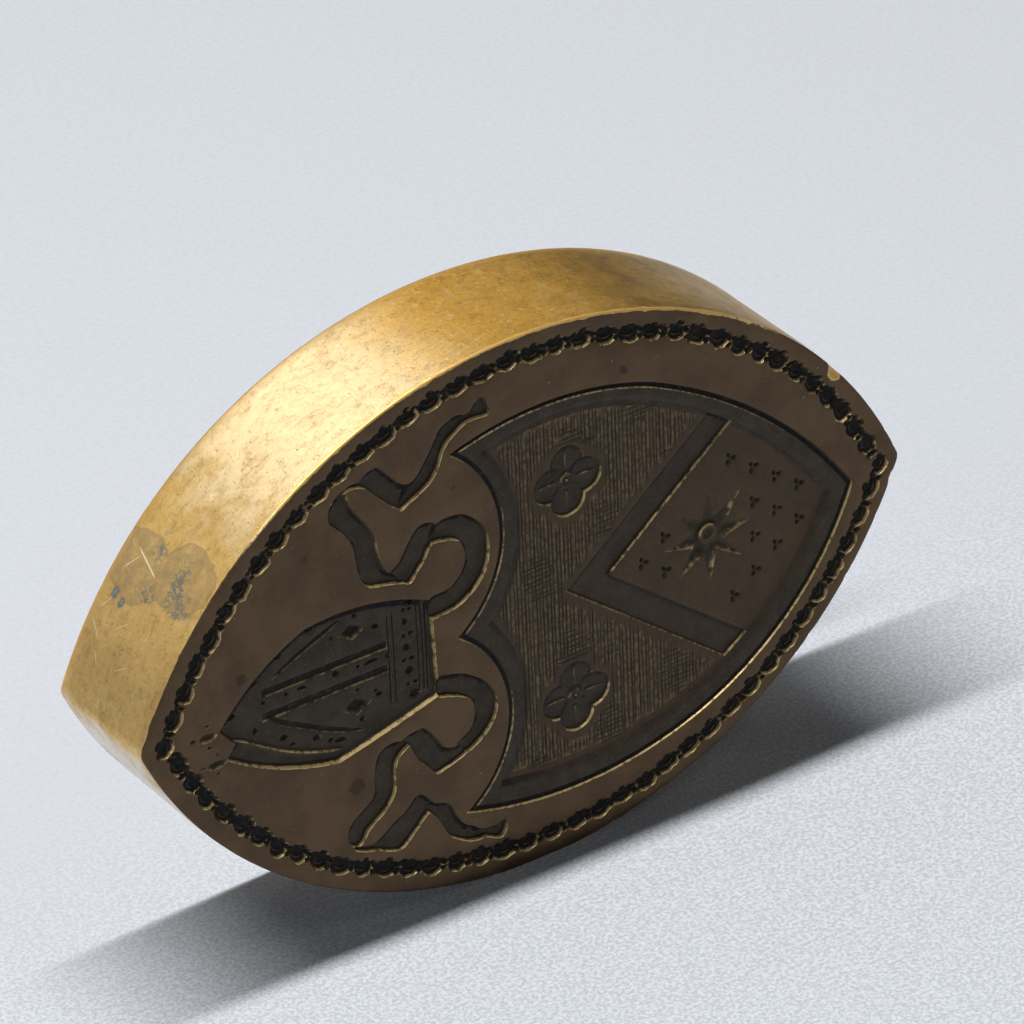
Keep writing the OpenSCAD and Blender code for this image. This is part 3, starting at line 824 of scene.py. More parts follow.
# The matrix: face, worn rims, side and back as one closed mesh
# Bites out of the face's rim: [u, v, half length, extra radius]
BITES = [
    [31.6, 10.6, 0.75, 0.85], [37.3, -1.9, 0.5, 0.28], [9.6, 24.6, 0.4, 0.06], [2, 25.7, 0.25, 0.06],
    [-36.6, 2.4, 0.5, 0.2], [14.5, 23.2, 0.3, 0.06], [-21, 19.9, 0.3, 0.1], [22, -19.2, 0.5, 0.15],
]
# Small nicks of the rim, with the ranges of their widths and extra radii
NICKS = 90
NICK_WIDTHS = (0.15, 0.45)
NICK_DEPTHS = (0.02, 0.14)
# Waves that add up to a wandering line, and the most turns of one round the rims and the side
WAVES = 12
RIM_WAVES = 160
SIDE_WAVES = 40
BACK_WAVES = 90
# Distance of the first lines of points inside the edge of the face and of the back
FACE_GUIDE = 0.3
BACK_GUIDE = 0.6
# One in this many of the plain points is kept on the back
BACK_FILL = 6
# Gap kept between the edge of the face and the lines that the cuts follow
GUIDE_CLEAR = 0.05
# Points of the plan nearer than this are one, and triangles this near its edge are tested closely
PLAN_GAP = 1e-3
EDGE_UNSURE = 0.5
SCREW_HOLE_R = 1.23
SCREW_HOLE_DEPTH = 6.2
SCREW_HOLE_SIDES = 20
SCREW_SPREAD = 9.4
# Points nearer than this become one, and edges turned by more degrees stay sharp
WELD_GAP = 2e-3
SHARP_ANGLE = 38


def edge_reach(angle):
    """Distance from the middle of the face to the seal's edge in each direction."""
    across, up = np.cos(angle), np.sin(angle)
    arcs = np.sqrt(ARC_R**2 - (ARC_SHIFT * across) ** 2) - ARC_SHIFT * np.abs(up)
    floor = np.where(up < -1e-6, CENTRE_Z / np.maximum(-up, 1e-6), 1e6)
    return np.minimum(np.minimum(arcs, HALF_L), floor)


def seal_edge():
    """Evenly spaced points along the seal's edge, with the outward direction at each."""
    angle = np.linspace(0, 2 * math.pi, EDGE_SAMPLES, endpoint=False)
    p = edge_reach(angle)[:, None] * np.stack([np.cos(angle), np.sin(angle)], -1)
    closed = np.concatenate([p, p[:1]])
    along = np.concatenate([[0], np.cumsum(np.linalg.norm(np.diff(closed, axis=0), axis=1))])
    count = int(along[-1] / EDGE_STEP)
    even = np.linspace(0, along[-1], count, endpoint=False)
    line = np.stack([np.interp(even, along, closed[:, i]) for i in (0, 1)], -1)
    outward = -left_of(unit(np.roll(line, -1, 0) - np.roll(line, 1, 0)))
    return line, outward


def wander(count, most_turns, size):
    """A smooth closed run of small values that repeats after count steps."""
    t = 2 * math.pi * np.arange(count) / count
    total = np.zeros(count)
    for _ in range(WAVES):
        total += np.sin(t * rng.integers(2, most_turns) + rng.uniform(0, 2 * math.pi))
    return size * total / math.sqrt(WAVES)


def rim_radius(line):
    """Radius of the worn rim at each point of the face's edge, with its nicks and bites."""
    radius = FACE_RIM + np.abs(wander(len(line), RIM_WAVES, RIM_WANDER))
    for _ in range(NICKS):
        spot = line[rng.integers(len(line))]
        width = rng.uniform(*NICK_WIDTHS)
        gap = np.linalg.norm(line - spot, axis=1)
        radius += rng.uniform(*NICK_DEPTHS) * np.exp(-((gap / width) ** 2))
    for u, v, half_l, extra in BITES:
        gap = np.linalg.norm(line - (u, v), axis=1)
        radius += extra * np.clip(1.6 - gap / half_l, 0, 1)
    return radius


def edge_gap(points, boundary):
    """How far each point lies inside a boundary round the middle, along its radius."""
    angle = np.arctan2(boundary[:, 1], boundary[:, 0])
    turn = np.arctan2(points[:, 1], points[:, 0])
    reach = np.interp(turn, angle, np.linalg.norm(boundary, axis=1), period=2 * math.pi)
    return reach - np.linalg.norm(points, axis=1)


def add_guide(points, edges, line, clear, closed):
    """Adds the clear points of a guide line, and the edges between those that follow each other."""
    number = len(points) + np.cumsum(clear) - 1
    points += line[clear].tolist()
    for i in range(len(line) if closed else len(line) - 1):
        j = (i + 1) % len(line)
        if clear[i] and clear[j]:
            edges.append((int(number[i]), int(number[j])))


def plan_mesh(boundary, closed, opened, fill):
    """Triangles over a boundary that follow closed and open guide lines, and their points in the plan."""
    points, edges = [], []
    add_guide(points, edges, boundary, np.ones(len(boundary), bool), True)
    for line in closed:
        add_guide(points, edges, line, edge_gap(line, boundary) > GUIDE_CLEAR, True)
    for line in opened:
        add_guide(points, edges, line, edge_gap(line, boundary) > GUIDE_CLEAR, False)
    points += fill.tolist()
    made = delaunay_2d_cdt([Vector(p) for p in points], edges, [], 0, PLAN_GAP)
    plan = np.array([list(p) for p in made[0]])
    faces = np.array(made[2])
    middle = plan[faces].mean(1)
    inside = edge_gap(middle, boundary)
    unsure = np.nonzero(np.abs(inside) < EDGE_UNSURE)[0]
    inside[unsure] = depth_inside(middle[unsure], boundary)
    return plan, faces[inside > 0]


def fill_points(boundary, guides):
    """Points over the plain parts, away from every guide line."""
    low, high = boundary.min(0), boundary.max(0)
    u, v = np.meshgrid(np.arange(low[0], high[0], FILL_STEP), np.arange(low[1], high[1], FILL_STEP))
    grid = np.stack([u.ravel(), v.ravel()], -1) + rng.uniform(-FILL_STRAY, FILL_STRAY, (u.size, 2))
    grid = grid[edge_gap(grid, boundary) > FILL_CLEAR]
    taken = np.concatenate(guides)
    tree = kdtree.KDTree(len(taken))
    for i, p in enumerate(taken):
        tree.insert((p[0], p[1], 0), i)
    tree.balance()
    return np.array([p for p in grid if tree.find((p[0], p[1], 0))[2] > FILL_CLEAR])


class Solid:
    """Points and faces of one closed mesh, gathered piece by piece."""

    def __init__(self):
        self.points, self.faces, self.materials, self.wear, self.grime = [], [], [], [], []

    def add(self, points, faces, material, wear=0.0, grime=0.0):
        first = len(self.points)
        self.points += [tuple(p) for p in points]
        self.wear += list(np.broadcast_to(wear, len(points)))
        self.grime += list(np.broadcast_to(grime, len(points)))
        self.faces += [tuple(first + i for i in face) for face in faces]
        self.materials += [material] * len(faces)

    def strip(self, rows, material, wear):
        """Quads between closed rows of points, the first row to the left when seen from outside."""
        count = len(rows[0])
        faces = []
        for r in range(len(rows) - 1):
            for i in range(count):
                j = (i + 1) % count
                faces.append((r * count + i, r * count + j, (r + 1) * count + j, (r + 1) * count + i))
        self.add(np.concatenate(rows), faces, material, np.concatenate(wear))

    def mesh(self, name, materials):
        """The welded mesh, with the brightness of worn brass and painted highlight, and the darkness of
        soiled floors and painted shade, at each point.
        """
        made = bpy.data.meshes.new(name)
        made.from_pydata([[c * MM for c in p] for p in self.points], [], self.faces)
        made.polygons.foreach_set("material_index", self.materials)
        for key, values in (("wear", self.wear), ("grime", self.grime)):
            layer = made.attributes.new(key, "FLOAT", "POINT")
            layer.data.foreach_set("value", np.array(values, np.float32))
        for material in materials:
            made.materials.append(material)
        return weld(made)


def in_space(plan, y):
    """Points of the plan at depths y, in millimetres of the shared frame."""
    plan = np.asarray(plan)
    return np.stack([plan[:, 0], np.broadcast_to(y, len(plan)), plan[:, 1] + CENTRE_Z], -1)


def rub_and_highlight_share(line, outward):
    """How bright the face's rim is worn at each point of the edge, only where it faces up and catches the
    light: worn edge and painted highlight.
    """
    u = line[:, 0]
    from_left = np.clip((u - RUBBED_FROM) / RUBBED_FADES[0], 0, 1)
    from_right = np.clip((RUBBED_TO - u) / RUBBED_FADES[1], 0, 1)
    return np.clip(2 * outward[:, 1], 0, 1) * from_left * from_right


def add_face(solid, boundary):
    """The face with its border, device and hatching."""
    cuts = border_cuts() + mitre_cuts() + ribbon_cuts() + shield_cuts()
    grooves = hatching()
    closed = [moved_in(boundary, FACE_GUIDE)] + [line for cut in cuts for line in cut.guides()]
    opened = [line for groove in grooves for line in groove.guides()]
    plan, faces = plan_mesh(boundary, closed, opened, fill_points(boundary, closed + opened))
    sunk, wear, grime = sink(plan, cuts)
    hatch = sink_grooves(plan, grooves)
    grime = np.clip(grime + HATCH_GRIME * hatch / HATCH_DEPTH, 0, 1)
    hatched = on_ground(plan, outline(FIELD_LINE), margin=0.5)
    wear = np.maximum(wear, RIDGE_WEAR * hatched * np.clip(1 - 2 * hatch / HATCH_DEPTH, 0, 1))
    solid.add(in_space(plan, FACE_Y + sunk + hatch), faces[:, ::-1], FACE, wear, grime)


def add_rim(solid, line, outward, rim, rub_and_highlight):
    """The worn rim of the face, painted bright orange along its top where it catches the light: worn edge
    and painted highlight. Gives its last row of points.
    """
    rows, shine = [], []
    for k in range(RIM_STEPS + 1):
        turn = math.pi / 2 * k / RIM_STEPS
        inset = rim * (1 - math.sin(turn)) + SIDE_DUB
        rows.append(in_space(line - outward * inset[:, None], FACE_Y + rim * (1 - math.cos(turn))))
        shine.append(RIM_WEAR * rub_and_highlight * (k > 0))
    solid.strip(rows, FACE, shine)
    return rows[-1]


def add_side(solid, line, outward, rim, rub_and_highlight, first_row):
    """The side, from the face's rim to the rounded rim of the back. Gives that rim's radius."""
    count = len(line)
    rows = [first_row]
    for k in (1, 2):
        rows.append(in_space(line - outward * SIDE_DUB, FACE_Y + rim + k * FIRST_ROW))
    # The side's first rows carry the rim's orange: worn edge and painted highlight
    shine = [share * rub_and_highlight for share in FIRST_ROWS_RUB]
    for k in range(1, SIDE_ROWS):
        share = (k / SIDE_ROWS) ** ROW_CROWDING
        y = FACE_Y + rim + (BACK_Y - BACK_RIM - FACE_Y - rim) * share
        dub = SIDE_DUB * np.clip(1 - (y - FACE_Y) / SIDE_DUB_REACH, 0, 1) ** 2
        inset = dub + np.abs(wander(count, SIDE_WAVES, SIDE_WANDER)) * math.sin(math.pi * share)
        rows.append(in_space(line - outward * inset[:, None], y))
        shine.append(np.zeros(count))
    back_rim = BACK_RIM + np.abs(wander(count, BACK_WAVES, RIM_WANDER))
    for k in range(RIM_STEPS + 1):
        turn = math.pi / 2 * k / RIM_STEPS
        inset = back_rim * (1 - math.cos(turn))
        rows.append(in_space(line - outward * inset[:, None], BACK_Y - back_rim * (1 - math.sin(turn))))
        shine.append(np.full(count, BACK_RIM_WEAR))
    solid.strip(rows, SIDE, shine)
    return back_rim


def add_back(solid, boundary):
    """The flat back with its four blind screw holes."""
    spots = [(u, v) for u in (-SCREW_SPREAD, SCREW_SPREAD) for v in (-SCREW_SPREAD, SCREW_SPREAD)]
    holes = [ring(spot, (SCREW_HOLE_R, SCREW_HOLE_R), SCREW_HOLE_SIDES) for spot in spots]
    guides = [moved_in(boundary, BACK_GUIDE)] + holes
    plan, faces = plan_mesh(boundary, guides, [], fill_points(boundary, guides)[::BACK_FILL])
    middle = plan[faces].mean(1)
    for hole in holes:
        faces, middle = [a[depth_inside(middle, hole) < 0] for a in (faces, middle)]
    wear = np.clip(1 - edge_gap(plan, boundary) / BACK_WEAR_REACH, 0, 1)
    solid.add(in_space(plan, BACK_Y), faces, BACK, wear)
    for hole in holes:
        rows = [in_space(hole, BACK_Y), in_space(hole, BACK_Y - SCREW_HOLE_DEPTH)]
        solid.strip(rows, BACK, [np.zeros(len(hole))] * 2)
        solid.add(rows[1], [tuple(range(len(hole)))], BACK)


def build_matrix(materials):
    line, outward = seal_edge()
    # The top of the face's rim is painted bright where it catches the light: worn edge and painted highlight
    rub_and_highlight = rub_and_highlight_share(line, outward)
    rim = rim_radius(line) + RUBBED_RIM * rub_and_highlight
    solid = Solid()
    add_face(solid, line - outward * (rim + SIDE_DUB)[:, None])
    rub_and_highlight = np.maximum(rub_and_highlight, np.clip((rim - BITE_RIM) / BITE_FADE, 0, 1))
    last_row = add_rim(solid, line, outward, rim, rub_and_highlight)
    back_rim = add_side(solid, line, outward, rim, rub_and_highlight, last_row)
    add_back(solid, line - outward * back_rim[:, None])
    return solid.mesh("matrix_engraved", materials)


def weld(mesh):
    """Joins the pieces of a mesh along their shared rims, and keeps its hard edges sharp."""
    work = bmesh.new()
    work.from_mesh(mesh)
    bmesh.ops.remove_doubles(work, verts=work.verts, dist=WELD_GAP * MM)
    bmesh.ops.dissolve_degenerate(work, dist=WELD_GAP * MM, edges=work.edges)
    loose = [v for v in work.verts if not v.link_faces]
    bmesh.ops.delete(work, geom=loose, context="VERTS")
    bmesh.ops.recalc_face_normals(work, faces=work.faces)
    work.to_mesh(mesh)
    work.free()
    mesh.shade_smooth()
    mesh.set_sharp_from_angle(angle=math.radians(SHARP_ANGLE))
    return mesh


class Shader:
    """A material under construction, with short calls for the nodes that it needs."""

    def __init__(self, name):
        self.material = bpy.data.materials.new(name)
        self.material.use_nodes = True
        self.tree = self.material.node_tree
        self.surface = self.tree.nodes["Principled BSDF"]
        self.place = self.node("ShaderNodeTexCoord").outputs["Object"]

    def node(self, kind, **settings):
        made = self.tree.nodes.new(kind)
        for key, value in settings.items():
            setattr(made, key, value)
        return made

    def feed(self, socket, value):
        """Links a socket to another node's output, or sets its value."""
        if isinstance(value, bpy.types.NodeSocket):
            self.tree.links.new(value, socket)
        else:
            socket.default_value = value

    def set(self, **values):
        for key, value in values.items():
            self.feed(self.surface.inputs[key.replace("_", " ")], value)

    def noise(self, size, detail=4.0, rough=0.55, stretch=(1, 1, 1), seed=0.0):
        """Noise with features of about a size in millimetres, drawn out along the axes by stretch."""
        mapping = self.node("ShaderNodeMapping")
        self.feed(mapping.inputs["Vector"], self.place)
        mapping.inputs["Location"].default_value = (seed, 1.7 * seed, 0.6 * seed)
        mapping.inputs["Scale"].default_value = [1 / s for s in stretch]
        texture = self.node("ShaderNodeTexNoise")
        self.feed(texture.inputs["Vector"], mapping.outputs[0])
        texture.inputs["Scale"].default_value = 1 / (size * MM)
        texture.inputs["Detail"].default_value = detail
        texture.inputs["Roughness"].default_value = rough
        return texture.outputs["Fac"]

    def vein(self, size, width, seed):
        """1 along thin wandering lines about a size apart in millimetres, else 0."""
        middle = self.math("ABSOLUTE", self.math("SUBTRACT", self.noise(size, 3, 0.6, seed=seed), 0.5))
        return self.map(middle, width, 0.4 * width)

    def attribute(self, name):
        return self.node("ShaderNodeAttribute", attribute_name=name).outputs["Fac"]

    def map(self, value, low, high, to_low=0.0, to_high=1.0):
        made = self.node("ShaderNodeMapRange", interpolation_type="SMOOTHSTEP")
        for key, number in (("Value", value), ("From Min", low), ("From Max", high),
                            ("To Min", to_low), ("To Max", to_high)):
            self.feed(made.inputs[key], number)
        return made.outputs[0]

    def math(self, operation, a, b=0.0):
        made = self.node("ShaderNodeMath", operation=operation)
        self.feed(made.inputs[0], a)
        self.feed(made.inputs[1], b)
        return made.outputs[0]

    def mix(self, share, a, b):
        """A colour between a and b."""
        made = self.node("ShaderNodeMix", data_type="RGBA")
        colours = [s for s in made.inputs if s.type == "RGBA"]
        self.feed(made.inputs["Factor"], share)
        for socket, value in zip(colours, (a, b)):
            self.feed(socket, (*value, 1) if isinstance(value, tuple) else value)
        return next(s for s in made.outputs if s.type == "RGBA")

    def tint(self, colour, tone, texture, low, high, share, within=None):
        """A colour with up to a share of a tone over it, where a texture goes from low to high."""
        amount = self.map(texture, low, high, 0.0, share)
        if within is not None:
            amount = self.math("MULTIPLY", within, amount)
        return self.mix(amount, colour, tone)

    def blend(self, share, a, b):
        """A number between a and b."""
        made = self.node("ShaderNodeMix", data_type="FLOAT")
        for socket, value in zip(made.inputs[:1] + made.inputs[2:4], (share, a, b)):
            self.feed(socket, value)
        return made.outputs[0]

    def local(self, spot, sizes, turn=(0, 0, 0)):
        """Place about a spot in the frame, as a share of half sizes in millimetres."""
        mapping = self.node("ShaderNodeMapping", vector_type="TEXTURE")
        self.feed(mapping.inputs["Vector"], self.place)
        mapping.inputs["Location"].default_value = [c * MM for c in spot]
        mapping.inputs["Rotation"].default_value = [math.radians(a) for a in turn]
        mapping.inputs["Scale"].default_value = [c * MM for c in sizes]
        return mapping.outputs[0]

    def streak(self, spot, sizes, turn):
        """1 inside a box of half sizes in millimetres about a spot in the frame, else 0."""
        parts = self.node("ShaderNodeSeparateXYZ")
        self.feed(parts.inputs[0], self.local(spot, sizes, turn))
        reach = 0.0
        for part in parts.outputs:
            reach = self.math("MAXIMUM", reach, self.math("ABSOLUTE", part))
        return self.map(reach, 1.3, 0.7)

    def mark(self, spot, sizes, edge=0.25, ragged=None):
        """1 inside an ellipsoid of half sizes in millimetres about a spot in the frame, else 0."""
        length = self.node("ShaderNodeVectorMath", operation="LENGTH")
        self.feed(length.inputs[0], self.local(spot, sizes))
        reach = length.outputs["Value"]
        if ragged is not None:
            reach = self.math("ADD", reach, ragged)
        return self.map(reach, 1 + edge, 1 - edge)

    def bump(self, height, depth, strength):
        made = self.node("ShaderNodeBump")
        made.inputs["Strength"].default_value = strength
        made.inputs["Distance"].default_value = depth * MM
        self.feed(made.inputs["Height"], height)
        return made.outputs[0]


BRASS = (0.78, 0.5, 0.155)
BRASS_DULL = (0.66, 0.42, 0.125)
BRASS_WARM = (0.74, 0.39, 0.04)
# Pale brass of rubbing marks, also painted over the side's bright band as a painted highlight
BRASS_WORN_AND_HIGHLIGHT = (0.85, 0.66, 0.38)
BRASS_SHADED = (0.7, 0.44, 0.135)
# Painted highlight on the crown of the side
BRASS_CROWN_HIGHLIGHT = (0.95, 0.57, 0.12)
BRASS_GOLDEN = (0.98, 0.66, 0.2)
BRASS_OLIVE = (0.72, 0.47, 0.165)
# Painted reflection of the pale floor, on the underside near the left point
BRASS_FLOOR_REFLECTION = (0.8, 0.77, 0.72)
BRASS_PALE = (0.8, 0.59, 0.27)
BRASS_ORANGE = (0.78, 0.44, 0.1)
BRASS_RIM = (0.76, 0.45, 0.12)
BRASS_TARNISHED = (0.3, 0.19, 0.07)
BRASS_BACK = (0.66, 0.44, 0.17)
BRASS_BACK_TARNISHED = (0.27, 0.17, 0.07)
BRASS_DARK = (0.13, 0.085, 0.035)
BRASS_FLECK = (0.95, 0.8, 0.48)
PATINA = (0.142, 0.09, 0.05)
PATINA_DARK = (0.09, 0.056, 0.032)
SLATE = (0.073, 0.057, 0.041)
SLATE_DARK = (0.05, 0.041, 0.031)
# Near black, for dirt spots and for painted shade in the corners of cuts
BLACK_GRIME_AND_SHADE = (0.014, 0.0135, 0.0125)
STAIN = (0.42, 0.295, 0.14)
STAIN_EDGE = (0.3, 0.2, 0.09)
VERDIGRIS = (0.16, 0.195, 0.19)
VERDIGRIS_PALE = (0.27, 0.34, 0.34)
# The floor's two tones far from the camera and near it
FLOOR_FAR = ((0.66, 0.69, 0.74), (0.72, 0.75, 0.8))
FLOOR_NEAR = ((0.56, 0.59, 0.63), (0.8, 0.83, 0.88))
# Dark round spots on the face: [u, v, half size]
FACE_SPOTS = [
    [-28.2, 3.6, 0.5], [-17.9, -11, 0.75], [10.1, 18.7, 0.4], [-21.5, 12.6, 0.25], [-7, 13.8, 0.2],
]


def face_material():
    s = Shader("patinated_face")
    mottle = s.noise(5, 5, 0.6)
    fine = s.noise(0.5, 3)
    grain = s.noise(0.16, 2, seed=3)
    dust = s.noise(0.3, 1, seed=7)
    wear = s.attribute("wear")
    smudge = s.noise(1.6, 3, seed=11)
    colour = s.mix(s.map(mottle, 0.35, 0.65), PATINA_DARK, PATINA)
    colour = s.tint(colour, PATINA_DARK, smudge, 0.5, 0.75, 0.35)
    colour = s.tint(colour, BRASS_TARNISHED, grain, 0.55, 0.8, 0.2)
    colour = s.tint(colour, BRASS_PALE, dust, 0.77, 0.82, 0.35)
    for u, v, size in FACE_SPOTS:
        ragged = s.map(fine, 0.2, 0.8, -0.35, 0.35)
        spot = s.mark((u, FACE_Y, CENTRE_Z + v), (size, size, size), ragged=ragged)
        colour = s.mix(s.math("MULTIPLY", spot, 0.5), colour, BLACK_GRIME_AND_SHADE)
    # The floors of cuts darken with dirt, and with painted shade along the foot of walls turned from the
    # light
    darkness = s.math("MULTIPLY", s.attribute("grime"), s.map(fine, 0.25, 0.6, 0.82, 1.0))
    slate = s.mix(s.map(smudge, 0.3, 0.7), SLATE_DARK, SLATE)
    slate = s.tint(slate, BRASS_TARNISHED, grain, 0.55, 0.8, 0.35)
    colour = s.mix(s.map(darkness, 0.0, 0.5), colour, slate)
    colour = s.mix(s.map(darkness, 0.6, 1.0), colour, BLACK_GRIME_AND_SHADE)
    # Walls that face the light and the top of the rim are painted as bright bare brass: worn metal and
    # painted highlight
    bare_and_lit = s.map(s.math("MULTIPLY", wear, s.map(fine, 0.3, 0.62, 0.3, 1.0)), 0.1, 0.7)
    metal_tone = s.mix(s.map(wear, 1.0, 1.5), BRASS_PALE, BRASS_RIM)
    colour = s.mix(bare_and_lit, colour, metal_tone)
    dull = s.blend(darkness, s.map(mottle, 0.3, 0.7, 0.45, 0.58), 0.95)
    metal = s.map(darkness, 0.0, 0.9, 0.7, 0.0)
    metal = s.blend(bare_and_lit, metal, 0.55)
    s.set(Base_Color=colour, Metallic=metal, Roughness=s.blend(bare_and_lit, dull, 0.42))
    s.set(Specular_IOR_Level=0.25)
    s.set(Normal=s.bump(s.math("ADD", fine, grain), 0.02, 0.25))
    return s.material


# The stain near the left point: places in the frame and half sizes of its lobes, spots and veined parts
STAIN_LOBES = [((-31.4, -1.2, 36.5), (2.8, 4.0, 3.3)), ((-30.6, -6.7, 37.7), (2.6, 3.7, 3.2))]
STAIN_SPOTS = [((-33.3, -0.1, 34.4), (0.5, 0.42, 0.55)), ((-33.5, -1.3, 34.1), (0.42, 0.34, 0.5))]
STAIN_VEINS = [
    ((-30.6, -6.3, 37.6), (1.5, 0.9, 1.6)), ((-31.8, -7.6, 36.3), (1.1, 1.5, 1.1)),
    ((-32.4, -3.6, 35.6), (0.6, 0.9, 0.7)), ((-30.2, -2.4, 38.2), (0.7, 0.8, 0.7)),
]


def stained(s, colour, cloud):
    """The olive stain near the left point, with its dark edge and blue-green spots and veins."""
    ragged = s.map(cloud, 0.3, 0.7, -0.13, 0.13)
    whole = inner = 0.0
    for spot, sizes in STAIN_LOBES:
        whole = s.math("MAXIMUM", whole, s.mark(spot, sizes, edge=0.03, ragged=ragged))
        shrunk = [0.94 * size for size in sizes]
        inner = s.math("MAXIMUM", inner, s.mark(spot, shrunk, edge=0.06, ragged=ragged))
    tinted = s.mix(s.map(s.noise(1.1, 5, 0.7, seed=31), 0.35, 0.65, 0.35, 0.85), colour, STAIN)
    colour = s.mix(s.math("MULTIPLY", whole, 0.55), colour, STAIN_EDGE)
    colour = s.mix(inner, colour, tinted)
    rough = s.map(s.noise(0.25, 3, seed=33), 0.3, 0.7, -0.3, 0.3)
    for spot, sizes in STAIN_SPOTS:
        share = s.mark(spot, sizes, edge=0.3, ragged=rough)
        colour = s.mix(s.math("MULTIPLY", share, 0.85), colour, VERDIGRIS)
        core = s.mark(spot, [0.55 * size for size in sizes], edge=0.4, ragged=rough)
        colour = s.mix(s.math("MULTIPLY", core, 0.8), colour, VERDIGRIS_PALE)
    ridge = s.math("ABSOLUTE", s.math("SUBTRACT", s.noise(0.8, 4, 0.6, stretch=(1, 1.6, 1), seed=17), 0.5))
    veins = s.map(ridge, 0.0, 0.06, -0.4, 0.8)
    for spot, sizes in STAIN_VEINS:
        share = s.mark(spot, sizes, edge=0.35, ragged=veins)
        colour = s.mix(s.math("MULTIPLY", share, 0.65), colour, VERDIGRIS)
    return colour


# Stretches of the side: place in the frame, half sizes and colour. The pale one is a painted highlight over
# the bright band, the shaded one a painted shade, the crown a painted highlight and the grey one a painted
# reflection of the floor; the warm and olive ones are the brass's own tones.
BRASS_TONES_AND_PAINTED_LIGHT = [
    # Painted highlight over the bright band
    ((-15, -5, 46), (13, 12, 9), BRASS_WORN_AND_HIGHLIGHT),
    ((21, -5, 45), (11, 12, 9), BRASS_SHADED),
    # Painted highlight on the crown
    ((13.5, -6, 48.5), (7, 10, 5), BRASS_CROWN_HIGHLIGHT),
    ((3.5, -3, 51), (11, 12, 6), BRASS_WARM),
    ((-34, -3, 32), (9, 12, 9), BRASS_OLIVE),
    # Painted reflection of the floor
    ((-36, 0, 19), (6, 14, 5.5), BRASS_FLOOR_REFLECTION),
]
# Where the top of the side is scuffed: place in the frame and half sizes
SCUFFED = ((4, -3, 51), (17, 14, 7))
# Bright scratches on the side: place in the frame, half sizes, turn in degrees and share of bare metal
SCRATCHES = [
    ((-31.05, -1.8, 37.2), (0.05, 1.55, 0.8), (0, 0, -13), 1.0),
    ((-31.5, -0.1, 36.8), (0.04, 0.7, 0.6), (0, 0, 42), 0.8),
    ((-24.6, -5.2, 43.2), (0.022, 1.6, 0.8), (0, 0, 33), 0.5),
    ((-23.6, -7.4, 43.9), (0.022, 1.2, 0.8), (0, 0, 14), 0.4),
    ((-25.7, -3.6, 42.3), (0.04, 0.5, 0.4), (0, 0, 55), 0.9),
    ((-25.7, -3.6, 42.3), (0.04, 0.4, 0.4), (0, 0, -10), 0.9),
    ((-25.7, -3.6, 42.3), (0.04, 0.35, 0.4), (0, 0, -60), 0.8),
    ((-33.9, 0.4, 33.5), (0.04, 0.5, 0.6), (0, 0, 40), 0.6),
    ((-35.2, 0.2, 31.5), (0.04, 0.8, 0.5), (0, 0, -20), 0.6),
    ((-34.4, -2.5, 32.8), (0.03, 0.7, 0.5), (0, 0, 25), 0.6),
    ((-36.1, -1.0, 29.6), (0.03, 0.5, 0.5), (0, 0, -30), 0.7),
    ((-35.9, -4.5, 30.0), (0.03, 0.6, 0.5), (0, 0, 18), 0.6),
]


